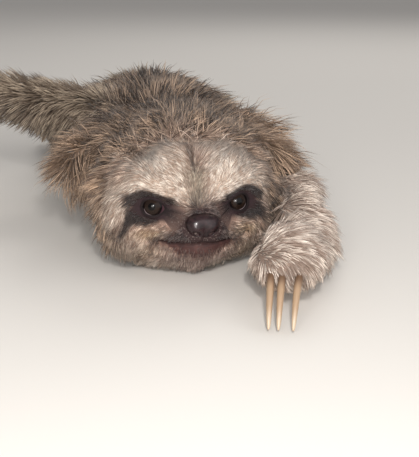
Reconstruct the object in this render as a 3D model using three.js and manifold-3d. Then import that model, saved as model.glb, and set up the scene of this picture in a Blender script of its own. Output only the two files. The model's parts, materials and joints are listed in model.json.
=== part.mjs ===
// A young brown-throated three-toed sloth, as a still, life-size museum figure.
//
// It lies on its belly with its chin on the floor. The head is turned a little to its left,
// the left arm comes forward beside the face with its claws on the floor, and the right arm
// is held out to the side with the elbow raised and the hand on the floor.
//
// Every solid is the body out to the tips of the coat, divided where a person names the parts.
// Millimetres, +Z up. The trunk runs back along +Y and the animal's left is +X. The origin is
// on the floor, under the middle of the whole figure's box.

import * as THREE from "three";
import { mergeVertices } from "three/addons/utils/BufferGeometryUtils.js";
import Module from "manifold-3d";

const wasm = await Module();
wasm.setup();

// ---------------------------------------------------------------- driving dimensions

const GAP = 0.35; // between neighbouring pieces

const HEAD_CENTRE = new THREE.Vector3(0, 0, 27.5); // the chin lies on the floor
const HEAD_TURN = THREE.MathUtils.degToRad(12); // towards the animal's left
const HEAD = {
  halfWidth: 39.5,
  front: 31, // the face plate, ahead of the centre
  back: 38,
  crown: 37,
  chin: 29.5,
};

const EYE = { side: 16.3, ahead: 22, above: 4.5, radius: 5.3 };
const NOSE = { ahead: 35.6, above: -0.6, halfWidth: 6.9, halfHeight: 4.6, halfDepth: 5, taper: 0.18 };
const EAR = { side: 37, behind: 7, above: 5, halfDepth: 6, halfHeight: 6.9, halfThickness: 2, flare: 24 };
const MOUTH = { halfWidth: 15.5, ahead: 34.5, above: -8.6, cornerRise: 3.2, cornerBack: 9, slit: 0.7 };

// Claws: how far one reaches ahead of its root, its girth there, how high it arches, and where
// the three roots lie across the knuckles, from -1 to 1.
const FORE_CLAW = { reach: 24, wide: 3.7, high: 4.5, arch: 5.5, places: [-1, -0.2, 1] };
const HIND_CLAW = { reach: 18, wide: 3.1, high: 3.8, arch: 3.5, places: [-1, 0, 1] };
const CLAW_CREST = 0.6; // how far along a claw its arch is highest
const CLAW_TIP = 0.8; // half the thickness of the blunt tip
const CLAW_TAPER = 3; // above 1, a claw keeps its girth and then narrows
const FLOOR_GAP = 0.15; // under a claw's tip

const LIMB_SIDES = 12;
const LIMB_RINGS = 8;
const LIMB_FULLNESS = 4.5; // how square the two round ends of a limb are
const TRUNK_FULLNESS = 2.8;
const CLAW_FULLNESS = 6;
const FLOOR_SLAB = 800;

// ---------------------------------------------------------------- materials

function material(name, colour, roughness) {
  const made = new THREE.MeshStandardMaterial({ color: colour, roughness, metalness: 0 });
  made.name = name;
  return made;
}

const COAT = material("coat", 0x8b7862, 0.95);
const FACE_COAT = material("face_coat", 0xc9b89c, 0.92);
const ARM_COAT = material("arm_coat", 0xa8977f, 0.95);
const EAR_SKIN = material("ear_skin", 0x4a3a31, 0.8);
const NOSE_SKIN = material("nose_skin", 0x2e2024, 0.35);
const EYE_DARK = material("eye", 0x1d1412, 0.08);
const CLAW_HORN = material("claw_horn", 0xbda585, 0.45);

// ---------------------------------------------------------------- shaping tools

// A geometry's positions alone, with the vertices of each corner merged.
function merged(geometry) {
  const plain = geometry.clone();
  plain.deleteAttribute("normal");
  plain.deleteAttribute("uv");
  return mergeVertices(plain, 1e-4);
}

// A closed geometry as a manifold-3d solid with its faces pointing out.
function solidOf(geometry) {
  const whole = merged(geometry);
  const vertProperties = new Float32Array(whole.attributes.position.array);
  const triVerts = new Uint32Array(whole.index.array);
  const build = () => new wasm.Manifold(new wasm.Mesh({ numProp: 3, vertProperties, triVerts }));
  const made = build();
  if (made.volume() > 0) return made;
  for (let i = 0; i < triVerts.length; i += 3) {
    [triVerts[i + 1], triVerts[i + 2]] = [triVerts[i + 2], triVerts[i + 1]];
  }
  return build();
}

// The same geometry with every vertex moved out along its normal.
function grown(geometry, by = GAP) {
  const whole = merged(geometry);
  whole.computeVertexNormals();
  const { position, normal } = whole.attributes;
  for (let i = 0; i < position.count; i++) {
    position.setXYZ(
      i,
      position.getX(i) + normal.getX(i) * by,
      position.getY(i) + normal.getY(i) * by,
      position.getZ(i) + normal.getZ(i) * by,
    );
  }
  return whole;
}

// What is left of a body once its neighbours, each grown by the gap, are cut from it.
function cutBack(geometry, ...neighbours) {
  return neighbours.reduce(
    (left, neighbour) => left.subtract(solidOf(grown(neighbour))),
    solidOf(geometry),
  );
}

// The largest of the bodies that a cut leaves.
function largest(solid) {
  return solid.decompose().reduce((a, b) => (a.volume() > b.volume() ? a : b));
}

function geometryOf(solid) {
  const { numProp, vertProperties, triVerts } = solid.getMesh();
  const places = new Float32Array((vertProperties.length / numProp) * 3);
  for (let i = 0; i < places.length / 3; i++) {
    places.set(vertProperties.subarray(i * numProp, i * numProp + 3), i * 3);
  }
  const geometry = new THREE.BufferGeometry();
  geometry.setAttribute("position", new THREE.BufferAttribute(places, 3));
  geometry.setIndex(new THREE.BufferAttribute(new Uint32Array(triVerts), 1));
  geometry.computeVertexNormals();
  return geometry;
}

// A station of a soft tube: its centre, and how far it reaches to each side and up and down.
function station(x, y, z, wide, high = wide) {
  return { centre: new THREE.Vector3(x, y, z), size: new THREE.Vector3(wide, high, 0) };
}

// A closed tube with round ends, swept through stations with an oval section at each.
function softTube(stations, { sides = LIMB_SIDES, rings = LIMB_RINGS, fullness = LIMB_FULLNESS } = {}) {
  const line = new THREE.CatmullRomCurve3(stations.map((s) => s.centre));
  const girth = new THREE.CatmullRomCurve3(stations.map((s) => s.size));
  const geometry = new THREE.SphereGeometry(1, sides, rings);
  const { position, uv } = geometry.attributes;
  const up = new THREE.Vector3(0, 0, 1);
  for (let i = 0; i < position.count; i++) {
    const along = (1 - Math.cos(Math.PI * (1 - uv.getY(i)))) / 2;
    const round = (1 - Math.abs(2 * along - 1) ** fullness) ** (1 / fullness);
    const turn = 2 * Math.PI * uv.getX(i);
    const tangent = line.getTangent(along);
    const side = new THREE.Vector3().crossVectors(tangent, up).normalize();
    const top = new THREE.Vector3().crossVectors(side, tangent);
    const size = girth.getPoint(along);
    const place = line
      .getPoint(along)
      .addScaledVector(side, size.x * round * Math.cos(turn))
      .addScaledVector(top, size.y * round * Math.sin(turn));
    position.setXYZ(i, place.x, place.y, place.z);
  }
  return geometry;
}

// ---------------------------------------------------------------- head

// Forms that rise from or sink into the head's plain oval, each towards a point of the head.
// Spread is the angle, in degrees, over which a form fades.
function headForms() {
  const forms = [
    { toward: [0, -37, -7], rise: 7.2, spread: 25 }, // muzzle
    { toward: [0, -28, -20], rise: 2.6, spread: 20 }, // chin
    { toward: [0, -30, 5], rise: -1.6, spread: 15 }, // bridge of the nose
    { toward: [0, -24, 30], rise: 2.6, spread: 26 }, // fringe over the forehead
    { toward: [0, 8, 40], rise: 6.5, spread: 38 }, // crown
  ];
  for (const side of [-1, 1]) {
    forms.push(
      { toward: [side * 17, -26, 5], rise: -3.4, spread: 15 }, // eye hollow
      { toward: [side * 15, -28, 17], rise: 1.6, spread: 17 }, // brow
      { toward: [side * 24, -24, -9], rise: 1.8, spread: 24 }, // cheek
      { toward: [side * 40, -4, 12], rise: 4.4, spread: 30 }, // ruff over the ear
      { toward: [side * 36, 8, -12], rise: 1, spread: 30 }, // ruff behind the jaw
      { toward: [side * 37, 7.5, 4.5], rise: -7.5, spread: 12 }, // hollow at the ear
    );
  }
  return forms.map(({ toward, rise, spread }) => ({
    direction: new THREE.Vector3(...toward).normalize(),
    rise,
    spread: THREE.MathUtils.degToRad(spread),
  }));
}

const HEAD_FORMS = headForms();

// How far the coat reaches from the middle of the head in a direction of the head.
function headReach(direction) {
  const { x, y, z } = direction;
  const deep = y < 0 ? HEAD.front : HEAD.back;
  const tall = z > 0 ? HEAD.crown : HEAD.chin;
  const oval = 1 / Math.hypot(x / HEAD.halfWidth, y / deep, z / tall);
  return HEAD_FORMS.reduce((reach, form) => {
    const away = direction.angleTo(form.direction) / form.spread;
    return reach + form.rise * Math.exp(-away * away);
  }, oval);
}

// From the head's own axes, with the nose towards -Y, to the figure's.
function onHead(geometry) {
  return geometry
    .rotateZ(HEAD_TURN)
    .translate(HEAD_CENTRE.x, HEAD_CENTRE.y, HEAD_CENTRE.z);
}

function headGeometry() {
  const crowding = 1.25; // rings lie closer together on the face than on the neck
  const geometry = new THREE.SphereGeometry(1, 34, 25);
  const { position, uv } = geometry.attributes;
  const direction = new THREE.Vector3();
  for (let i = 0; i < position.count; i++) {
    const tilt = Math.PI * (1 - uv.getY(i)) ** crowding;
    const turn = 2 * Math.PI * uv.getX(i);
    direction.set(
      Math.sin(tilt) * Math.cos(turn),
      -Math.cos(tilt),
      Math.sin(tilt) * Math.sin(turn),
    );
    direction.multiplyScalar(headReach(direction));
    position.setXYZ(i, direction.x, direction.y, direction.z);
  }
  return onHead(geometry);
}

function eyeGeometry(side) {
  const ball = new THREE.SphereGeometry(EYE.radius, 12, 8);
  return onHead(ball.translate(side * EYE.side, -EYE.ahead, EYE.above));
}

// A soft triangle, broad above and narrow below.
function noseGeometry() {
  const pad = new THREE.SphereGeometry(1, 14, 8);
  const { position } = pad.attributes;
  for (let i = 0; i < position.count; i++) {
    const z = position.getZ(i);
    position.setX(i, position.getX(i) * (1 + NOSE.taper * z));
  }
  pad.scale(NOSE.halfWidth, NOSE.halfDepth, NOSE.halfHeight);
  return onHead(pad.translate(0, -NOSE.ahead, NOSE.above));
}

// A small round flap that stands in its hollow in the ruff.
function earGeometry(side) {
  const flap = new THREE.SphereGeometry(1, 10, 7);
  flap.scale(EAR.halfThickness, EAR.halfDepth, EAR.halfHeight);
  flap.rotateZ(THREE.MathUtils.degToRad(-side * EAR.flare));
  return onHead(flap.translate(side * EAR.side, EAR.behind, EAR.above));
}

// The closed mouth: a fine slit that curves up to both corners.
function mouthGeometry() {
  const points = [-1, -0.5, 0, 0.5, 1].map(
    (t) =>
      new THREE.Vector3(
        t * MOUTH.halfWidth,
        -MOUTH.ahead + MOUTH.cornerBack * t * t,
        MOUTH.above + MOUTH.cornerRise * t * t,
      ),
  );
  const section = new THREE.Shape().absarc(0, 0, MOUTH.slit, 0, 2 * Math.PI);
  return onHead(
    new THREE.ExtrudeGeometry(section, {
      steps: 10,
      curveSegments: 2,
      extrudePath: new THREE.CatmullRomCurve3(points),
    }),
  );
}

// ---------------------------------------------------------------- trunk

// The neck spreads into a ruff of long hair behind the ears.
const neckGeometry = softTube(
  [
    station(-3, 0, 34, 38, 26),
    station(-5, 24, 38, 54, 30),
    station(-5, 60, 35, 46, 30),
    station(-7, 96, 33, 42, 30),
  ],
  { sides: 18, rings: 9 },
);

const trunkGeometry = softTube(
  [
    station(-3, 58, 31, 36, 28),
    station(-9, 98, 31, 45, 33),
    station(-17, 150, 31, 44, 33),
    station(-26, 205, 29, 40, 31),
    station(-31, 246, 26, 31, 25),
  ],
  { sides: 20, rings: 14, fullness: TRUNK_FULLNESS },
);

const tailGeometry = softTube(
  [station(-30, 232, 27, 12, 10), station(-32, 250, 24, 10, 9), station(-33, 262, 19, 7, 6)],
  { sides: 10, rings: 7 },
);

// ---------------------------------------------------------------- limbs

// Each limb is three lengths of coat, and a row of three claws whose roots lie across the
// knuckles. Heading is where the claws point, in degrees from the animal's front to its left.
const LIMBS = [
  {
    names: ["left_upper_arm", "left_forearm", "left_hand"],
    lengths: [
      [station(26, 90, 41, 20, 20), station(33, 56, 35, 18, 18), station(41, 19, 21, 15, 16.5)],
      [station(43, 36, 19, 14, 16), station(48, 0, 16.5, 17.5, 17), station(43, -40, 14, 16, 14)],
      [station(42, -26, 14.5, 15, 13.5), station(39.5, -46, 17, 15.5, 13), station(37.5, -66, 16, 11.5, 8.5)],
    ],
    claws: { root: [37.8, -56, 14.5], heading: -10, fan: 5.4, closing: 0.8, ...FORE_CLAW },
  },
  {
    names: ["right_upper_arm", "right_forearm", "right_hand"],
    lengths: [
      [station(-30, 86, 43, 24, 21), station(-66, 95, 51, 18, 16.5), station(-110, 99, 60, 15, 15)],
      [station(-96, 101, 59, 13, 13), station(-128, 92, 45, 16.5, 15.5), station(-155, 66, 21, 14, 13)],
      [station(-147, 75, 26, 12.5, 12), station(-159, 59, 18, 14, 12), station(-171, 43, 15, 10.5, 8)],
    ],
    claws: { root: [-165.5, 50, 14], heading: -42, fan: 5.4, closing: 0.9, ...FORE_CLAW },
  },
  {
    names: ["left_thigh", "left_shin", "left_foot"],
    lengths: [
      [station(-8, 222, 28, 22, 20), station(11, 196, 26, 19, 20), station(31, 162, 21, 15, 18)],
      [station(31, 160, 20, 13, 16), station(33, 188, 17, 14, 15), station(36, 220, 13, 12, 12.5)],
      [station(35, 208, 13, 11, 11), station(40, 227, 12, 13, 11), station(48, 245, 10, 10, 8)],
    ],
    claws: { root: [45, 238, 10], heading: 158, fan: 5, closing: 1.05, ...HIND_CLAW },
  },
  {
    names: ["right_thigh", "right_shin", "right_foot"],
    lengths: [
      [station(-44, 224, 28, 22, 20), station(-56, 198, 26, 17, 20), station(-63, 166, 21, 13, 18)],
      [station(-62, 163, 20, 12, 16), station(-66, 191, 17, 13, 15), station(-71, 223, 13, 12, 12.5)],
      [station(-70, 211, 13, 11, 11), station(-76, 230, 12, 13, 11), station(-86, 248, 10, 10, 8)],
    ],
    claws: { root: [-82, 241, 10], heading: -150, fan: 5, closing: 1.05, ...HIND_CLAW },
  },
];

// One claw: out of the knuckle, over an arch and down to a blunt tip on the floor.
function clawGeometry(row, place) {
  const ahead = new THREE.Vector3(0, -1, 0).applyAxisAngle(
    new THREE.Vector3(0, 0, 1),
    THREE.MathUtils.degToRad(row.heading),
  );
  const across = new THREE.Vector3(-ahead.y, ahead.x, 0);
  const middle = new THREE.Vector3(...row.root);
  const root = middle.clone().addScaledVector(across, place * row.fan);
  const tip = middle
    .clone()
    .addScaledVector(across, place * row.fan * row.closing)
    .addScaledVector(ahead, row.reach)
    .setZ(CLAW_TIP + FLOOR_GAP);
  const crest = root.clone().lerp(tip, CLAW_CREST).setZ(middle.z + row.arch);
  const line = new THREE.QuadraticBezierCurve3(root, crest, tip);
  const stations = [0, 0.3, 0.6, 0.85, 1].map((t) => {
    const { x, y, z } = line.getPoint(t);
    const [wide, high] = [row.wide, row.high].map((girth) =>
      THREE.MathUtils.lerp(girth / 2, CLAW_TIP, t ** CLAW_TAPER),
    );
    return station(x, y, z, wide, high);
  });
  return softTube(stations, { sides: 6, rings: 6, fullness: CLAW_FULLNESS });
}

// ---------------------------------------------------------------- assembly

const figure = new THREE.Group();
const floorSlab = new THREE.BoxGeometry(FLOOR_SLAB, FLOOR_SLAB, FLOOR_SLAB / 4).translate(
  0,
  0,
  -FLOOR_SLAB / 8,
);

// Adds one named solid, cut flat where it lies on the floor.
function add(name, solid, finish) {
  const resting = largest(solid.subtract(solidOf(floorSlab)));
  const mesh = new THREE.Mesh(geometryOf(resting), finish);
  mesh.name = name;
  figure.add(mesh);
}

function addHead() {
  const head = headGeometry();
  const nose = noseGeometry();
  const eyes = { left: eyeGeometry(1), right: eyeGeometry(-1) };
  const ears = { left: earGeometry(1), right: earGeometry(-1) };
  const fitted = [nose, eyes.left, eyes.right, ears.left, ears.right];
  add("head", cutBack(head, ...fitted).subtract(solidOf(mouthGeometry())), FACE_COAT);
  add("nose", solidOf(nose), NOSE_SKIN);
  for (const side of ["left", "right"]) {
    add(`${side}_eye`, solidOf(eyes[side]), EYE_DARK);
    add(`${side}_ear`, solidOf(ears[side]), EAR_SKIN);
  }
  return [head, ears.left, ears.right];
}

function addTrunk(head) {
  add("neck", cutBack(neckGeometry, ...head), COAT);
  add("trunk", cutBack(trunkGeometry, ...head, neckGeometry), COAT);
  add("tail", cutBack(tailGeometry, trunkGeometry), COAT);
}

// Adds a limb from the body outwards, each length cut back from all that it grows from.
function addLimb(limb, body) {
  const claws = limb.claws.places.map((place) => clawGeometry(limb.claws, place));
  const before = [...body];
  limb.names.forEach((name, k) => {
    const length = softTube(limb.lengths[k]);
    const isEnd = k === limb.names.length - 1;
    const fitted = isEnd ? [...before, ...claws] : before;
    add(name, cutBack(length, ...fitted), ARM_COAT);
    before.push(length);
  });
  claws.forEach((claw, k) => add(`${limb.names[2]}_claw_${k + 1}`, solidOf(claw), CLAW_HORN));
}

const head = addHead();
addTrunk(head);
for (const limb of LIMBS) addLimb(limb, [...head, neckGeometry, trunkGeometry]);

// The middle of the figure's box, at floor level, becomes the origin.
figure.updateMatrixWorld(true);
const middle = new THREE.Box3().setFromObject(figure).getCenter(new THREE.Vector3());
figure.position.set(-middle.x, -middle.y, 0);

export default figure;
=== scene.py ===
"""A young three-toed sloth resting on its front: skin, coat, eyes, nose, ears and claws.

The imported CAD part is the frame. One skin lies inside its flesh solids by the depth of the
coat, and solid mesh tufts stand on that skin and reach out to the solids' own outline.
Positions are in metres in the part's frame unless a name or docstring says millimetres, which
the head's own axes use: x to the animal's left, y backwards, z up, from the head's centre.
"""

import json
import logging
import math
from dataclasses import dataclass, field
from enum import Enum
from typing import Any, Callable, Optional, Sequence, Union

import bpy
import numpy as np
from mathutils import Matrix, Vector
from mathutils.kdtree import KDTree

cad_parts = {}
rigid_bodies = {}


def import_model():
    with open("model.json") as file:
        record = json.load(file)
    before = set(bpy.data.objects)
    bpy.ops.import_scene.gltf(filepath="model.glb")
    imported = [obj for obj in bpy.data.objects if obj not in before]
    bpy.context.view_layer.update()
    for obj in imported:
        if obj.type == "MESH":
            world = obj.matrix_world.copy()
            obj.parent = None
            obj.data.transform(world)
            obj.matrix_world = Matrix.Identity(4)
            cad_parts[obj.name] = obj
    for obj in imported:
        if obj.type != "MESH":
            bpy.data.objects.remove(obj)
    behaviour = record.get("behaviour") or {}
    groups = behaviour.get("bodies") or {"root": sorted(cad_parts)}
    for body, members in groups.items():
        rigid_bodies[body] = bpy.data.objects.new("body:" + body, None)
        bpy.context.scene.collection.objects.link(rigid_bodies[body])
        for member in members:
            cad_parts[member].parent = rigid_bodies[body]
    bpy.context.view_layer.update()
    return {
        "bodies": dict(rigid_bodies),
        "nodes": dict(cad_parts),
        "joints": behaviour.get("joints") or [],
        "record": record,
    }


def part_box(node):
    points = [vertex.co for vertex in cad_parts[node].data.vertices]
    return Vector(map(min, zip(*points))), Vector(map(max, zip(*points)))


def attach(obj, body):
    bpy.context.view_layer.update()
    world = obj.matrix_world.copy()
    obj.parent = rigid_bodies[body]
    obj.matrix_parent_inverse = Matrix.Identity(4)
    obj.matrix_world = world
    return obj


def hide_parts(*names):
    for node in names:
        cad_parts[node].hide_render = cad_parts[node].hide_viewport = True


log = logging.getLogger("sloth")

MM = 0.001
BAKE_MAP = "OFBake"
PATCH = 0.003  # how wide one tuft's patch is on the bake map
LID_REACH = 15.0  # millimetres from the middle of an eye that its lids may shape
COAT_OUT = 1.15  # how much farther out the head's coat is than its skin
MEET = 1e-5  # metres between vertices that are welded
FIBRE_TURN = 12.0  # stretch of fibre noise round its axis
FIBRE_RUN = 0.02  # stretch of fibre noise along it
ROOT_BODY = "root"

Array = np.ndarray
Colour = tuple[int, int, int]


# ---------------------------------------------------------------- numbers


def smoothstep(low: float, high: float, value: Array) -> Array:
    """A smooth rise from 0 at low to 1 at high.

    Args:
        low: Where the rise starts.
        high: Where it ends; it may be below low for a fall.
        value: The values to place on it.

    Returns:
        The height of the rise at each value.
    """
    t = np.clip((value - low) / (high - low), 0.0, 1.0)
    return t * t * (3.0 - 2.0 * t)


def unit(vectors: Array) -> Array:
    """Each row scaled to length 1.

    Args:
        vectors: Rows of three numbers.

    Returns:
        Rows of the same directions.
    """
    length = np.linalg.norm(vectors, axis=-1, keepdims=True)
    return vectors / np.maximum(length, 1e-12)


def dot(a: Array, b: Array) -> Array:
    """The dot product of each row of a with each row of b."""
    return np.sum(a * b, axis=-1)


def flattened(vectors: Array, normals: Array) -> Array:
    """Each vector with its part along the normal taken out, at length 1.

    Args:
        vectors: Directions.
        normals: The unit normals that the results lie square to.

    Returns:
        Unit directions along the surface.
    """
    return unit(vectors - dot(vectors, normals)[..., None] * normals)


def ridge(value: Array, at: float, width: float) -> Array:
    """A bell that is 1 where the value is at, and fades over the width."""
    return np.exp(-(((value - at) / width) ** 2))


def spot(x: Array, z: Array, at: tuple[float, float], size: tuple[float, float]) -> Array:
    """A bell over two coordinates.

    Args:
        x: First coordinate of each point.
        z: Second coordinate of each point.
        at: Where it is 1.
        size: How far it reaches along each.

    Returns:
        Its height at each point.
    """
    return np.exp(-(((x - at[0]) / size[0]) ** 2) - ((z - at[1]) / size[1]) ** 2)


def outline_distance(x: Array, z: Array, corners: Sequence[tuple[float, float]]) -> Array:
    """How deep points lie inside a closed outline.

    Args:
        x: First coordinate of each point.
        z: Second coordinate of each point.
        corners: The outline's corners in order.

    Returns:
        The distance to the outline, positive inside it.
    """
    ring = np.array(corners, float)
    point = np.stack([x, z], axis=-1)
    nearest = np.full(len(x), np.inf)
    inside = np.zeros(len(x), bool)
    for a, b in zip(ring, np.roll(ring, -1, axis=0)):
        edge = b - a
        share = np.clip((point - a) @ edge / (edge @ edge), 0.0, 1.0)
        nearest = np.minimum(nearest, np.linalg.norm(point - a - share[:, None] * edge, axis=1))
        crosses = (a[1] > z) != (b[1] > z)
        rise = b[1] - a[1] if abs(b[1] - a[1]) > 1e-9 else 1e-9
        inside ^= crosses & (x < a[0] + (z - a[1]) / rise * edge[0])
    return np.where(inside, nearest, -nearest)


class Ripple:
    """A smooth random field over space, made of plane waves about one wavelength long."""

    def __init__(self, wavelength: float, seed: int, outputs: int = 1, waves: int = 24) -> None:
        """Draws the waves.

        Args:
            wavelength: The usual distance between crests.
            seed: The seed of the random draws.
            outputs: How many independent values the field has at each point.
            waves: How many waves are summed.
        """
        rng = np.random.default_rng(seed)
        size = 2.0 * math.pi / wavelength * rng.uniform(0.6, 1.5, (outputs, waves, 1))
        self.turns = unit(rng.normal(size=(outputs, waves, 3))) * size
        self.starts = rng.uniform(0.0, 2.0 * math.pi, (outputs, waves))
        self.scale = math.sqrt(2.0 / waves)

    def at(self, points: Array) -> Array:
        """The field's values, about -2 to 2.

        Args:
            points: Rows of positions.

        Returns:
            One row a point, one column an output.
        """
        columns = [
            np.sin(points @ turns.T + starts).sum(axis=1) * self.scale
            for turns, starts in zip(self.turns, self.starts)
        ]
        return np.stack(columns, axis=1)


# ---------------------------------------------------------------- meshes


def deselect() -> None:
    """Leaves nothing selected and nothing active."""
    bpy.ops.object.select_all(action="DESELECT")
    bpy.context.view_layer.objects.active = None


def activate(*objects: bpy.types.Object) -> None:
    """Selects just these objects, the first of them active.

    Args:
        *objects: The objects.
    """
    deselect()
    for obj in objects:
        obj.select_set(True)
    bpy.context.view_layer.objects.active = objects[0]


def points(obj: bpy.types.Object) -> Array:
    """The object's vertices as rows.

    Args:
        obj: The mesh object.

    Returns:
        One row a vertex.
    """
    flat = np.empty(len(obj.data.vertices) * 3)
    obj.data.vertices.foreach_get("co", flat)
    return flat.reshape(-1, 3)


def set_points(obj: bpy.types.Object, places: Array) -> None:
    """Moves the object's vertices to these rows."""
    obj.data.vertices.foreach_set("co", np.ascontiguousarray(places, np.float32).ravel())
    obj.data.update()


def normals(obj: bpy.types.Object) -> Array:
    """The object's vertex normals as rows.

    Args:
        obj: The mesh object.

    Returns:
        One row a vertex.
    """
    flat = np.empty(len(obj.data.vertices) * 3, np.float32)
    obj.data.vertex_normals.foreach_get("vector", flat)
    return flat.reshape(-1, 3).astype(float)


def set_values(obj: bpy.types.Object, name: str, values: Array) -> None:
    """Stores one number a vertex under a name that materials read.

    Args:
        obj: The mesh object.
        name: The attribute's name.
        values: One number a vertex.
    """
    layer = obj.data.attributes.get(name) or obj.data.attributes.new(name, "FLOAT", "POINT")
    layer.data.foreach_set("value", np.ascontiguousarray(values, np.float32))


def modify(obj: bpy.types.Object, kind: str, **settings: Any) -> None:
    """Adds a modifier with these settings and applies it.

    Args:
        obj: The mesh object.
        kind: The modifier's type.
        **settings: Its settings by name.
    """
    activate(obj)
    modifier = obj.modifiers.new(kind.title(), kind)
    for key, value in settings.items():
        setattr(modifier, key, value)
    bpy.ops.object.modifier_apply(modifier=modifier.name)


def joined(objects: Sequence[bpy.types.Object], name: str) -> bpy.types.Object:
    """One object made of several, under a new name.

    Args:
        objects: The objects, the first of which is kept.
        name: The new name.

    Returns:
        The joined object.
    """
    activate(*objects)
    if len(objects) > 1:
        bpy.ops.object.join()
    made = bpy.context.view_layer.objects.active
    made.name = name
    made.data.name = name
    return made


def refine(obj: bpy.types.Object, chosen: Array) -> None:
    """Splits the chosen faces once in each direction.

    Args:
        obj: The mesh object.
        chosen: One truth value a face.
    """
    activate(obj)
    bpy.ops.object.mode_set(mode="EDIT")
    bpy.ops.mesh.select_mode(type="FACE")
    bpy.ops.mesh.select_all(action="DESELECT")
    bpy.ops.object.mode_set(mode="OBJECT")
    obj.data.polygons.foreach_set("select", chosen)
    bpy.ops.object.mode_set(mode="EDIT")
    bpy.ops.mesh.subdivide(number_cuts=1, smoothness=0.0)
    bpy.ops.object.mode_set(mode="OBJECT")


def edit_all(obj: bpy.types.Object, *operations: Callable[[], Any]) -> None:
    """Runs operators on the whole of a mesh in Edit Mode.

    Args:
        obj: The mesh object.
        *operations: What to run, in order.
    """
    activate(obj)
    bpy.ops.object.mode_set(mode="EDIT")
    bpy.ops.mesh.select_all(action="SELECT")
    for operation in operations:
        operation()
    bpy.ops.object.mode_set(mode="OBJECT")


def weld() -> None:
    """Merges the selected vertices that meet."""
    bpy.ops.mesh.remove_doubles(threshold=MEET)


def sphere(name: str, segments: int, rings: int) -> bpy.types.Object:
    """A unit ball with its poles on z, to be shaped.

    Args:
        name: The object's name.
        segments: Faces round it.
        rings: Faces from pole to pole.

    Returns:
        The new object.
    """
    deselect()
    bpy.ops.mesh.primitive_uv_sphere_add(segments=segments, ring_count=rings, radius=1.0)
    made = bpy.context.view_layer.objects.active
    made.name = name
    made.data.name = name
    return made


def soften(obj: bpy.types.Object) -> None:
    """Shades all faces of an object smooth."""
    obj.data.polygons.foreach_set("use_smooth", np.ones(len(obj.data.polygons), bool))
    obj.data.update()


def dress(obj: bpy.types.Object, material: bpy.types.Material) -> None:
    """Gives the object this one material."""
    obj.data.materials.clear()
    obj.data.materials.append(material)


class Net:
    """Which vertices of a mesh are joined by edges, for averaging over neighbours."""

    def __init__(self, obj: bpy.types.Object) -> None:
        """Reads the mesh's edges.

        Args:
            obj: The mesh object.
        """
        flat = np.empty(len(obj.data.edges) * 2, np.int32)
        obj.data.edges.foreach_get("vertices", flat)
        pairs = flat.reshape(-1, 2)
        self.here = np.concatenate([pairs[:, 0], pairs[:, 1]])
        self.there = np.concatenate([pairs[:, 1], pairs[:, 0]])
        self.count = len(obj.data.vertices)
        self.degree = np.maximum(np.bincount(self.here, minlength=self.count), 1)

    def average(self, values: Array) -> Array:
        """The mean of each vertex's neighbours, for one column or several.

        Args:
            values: One row a vertex.

        Returns:
            The means, shaped as the values.
        """
        if values.ndim == 1:
            total = np.bincount(self.here, values[self.there], self.count)
            return total / self.degree
        return np.stack([self.average(column) for column in values.T], axis=1)

    def eased(self, values: Array, rounds: int, share: Union[float, Array] = 0.5) -> Array:
        """The values drawn towards their neighbours' mean.

        Args:
            values: One row a vertex.
            rounds: How many times.
            share: How far each time, for all or a vertex.

        Returns:
            The smoothed values.
        """
        for _ in range(rounds):
            values = values + share * (self.average(values) - values)
        return values


# ---------------------------------------------------------------- shader maths


class Value:
    """A number in a shader, so that sums of sockets read as sums."""

    def __init__(self, graph: "Graph", socket: bpy.types.NodeSocket) -> None:
        """Wraps one output socket of a graph."""
        self.graph = graph
        self.socket = socket

    def __add__(self, other: "Number") -> "Value":
        """This plus other."""
        return self.graph.math("ADD", self, other)

    __radd__ = __add__

    def __sub__(self, other: "Number") -> "Value":
        """This minus other."""
        return self.graph.math("SUBTRACT", self, other)

    def __rsub__(self, other: "Number") -> "Value":
        """Other minus this."""
        return self.graph.math("SUBTRACT", other, self)

    def __mul__(self, other: "Number") -> "Value":
        """This times other."""
        return self.graph.math("MULTIPLY", self, other)

    __rmul__ = __mul__

    def __truediv__(self, other: "Number") -> "Value":
        """This over other."""
        return self.graph.math("DIVIDE", self, other)

    def clamped(self) -> "Value":
        """This kept from 0 to 1."""
        return self.graph.math("ADD", self, 0.0, use_clamp=True)

    def rise(self, low: float, high: float) -> "Value":
        """A smooth rise from 0 where this is low to 1 where it is high.

        Args:
            low: Where the rise starts.
            high: Where it ends; it may be below low for a fall.

        Returns:
            The height of the rise.
        """
        made = self.graph.node(
            "ShaderNodeMapRange",
            {"interpolation_type": "SMOOTHSTEP"},
            {"Value": self, "From Min": low, "From Max": high},
        )
        return Value(self.graph, made.outputs["Result"])


Number = Union[float, Value]


def linear(colour: Colour) -> tuple[float, float, float, float]:
    """A colour as 0 to 255 in sRGB turned into the linear values that a socket takes.

    Args:
        colour: The colour as 0 to 255.

    Returns:
        Red, green, blue and 1.
    """
    parts = [c / 255.0 for c in colour]
    made = [c / 12.92 if c <= 0.04045 else ((c + 0.055) / 1.055) ** 2.4 for c in parts]
    return (made[0], made[1], made[2], 1.0)


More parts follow.
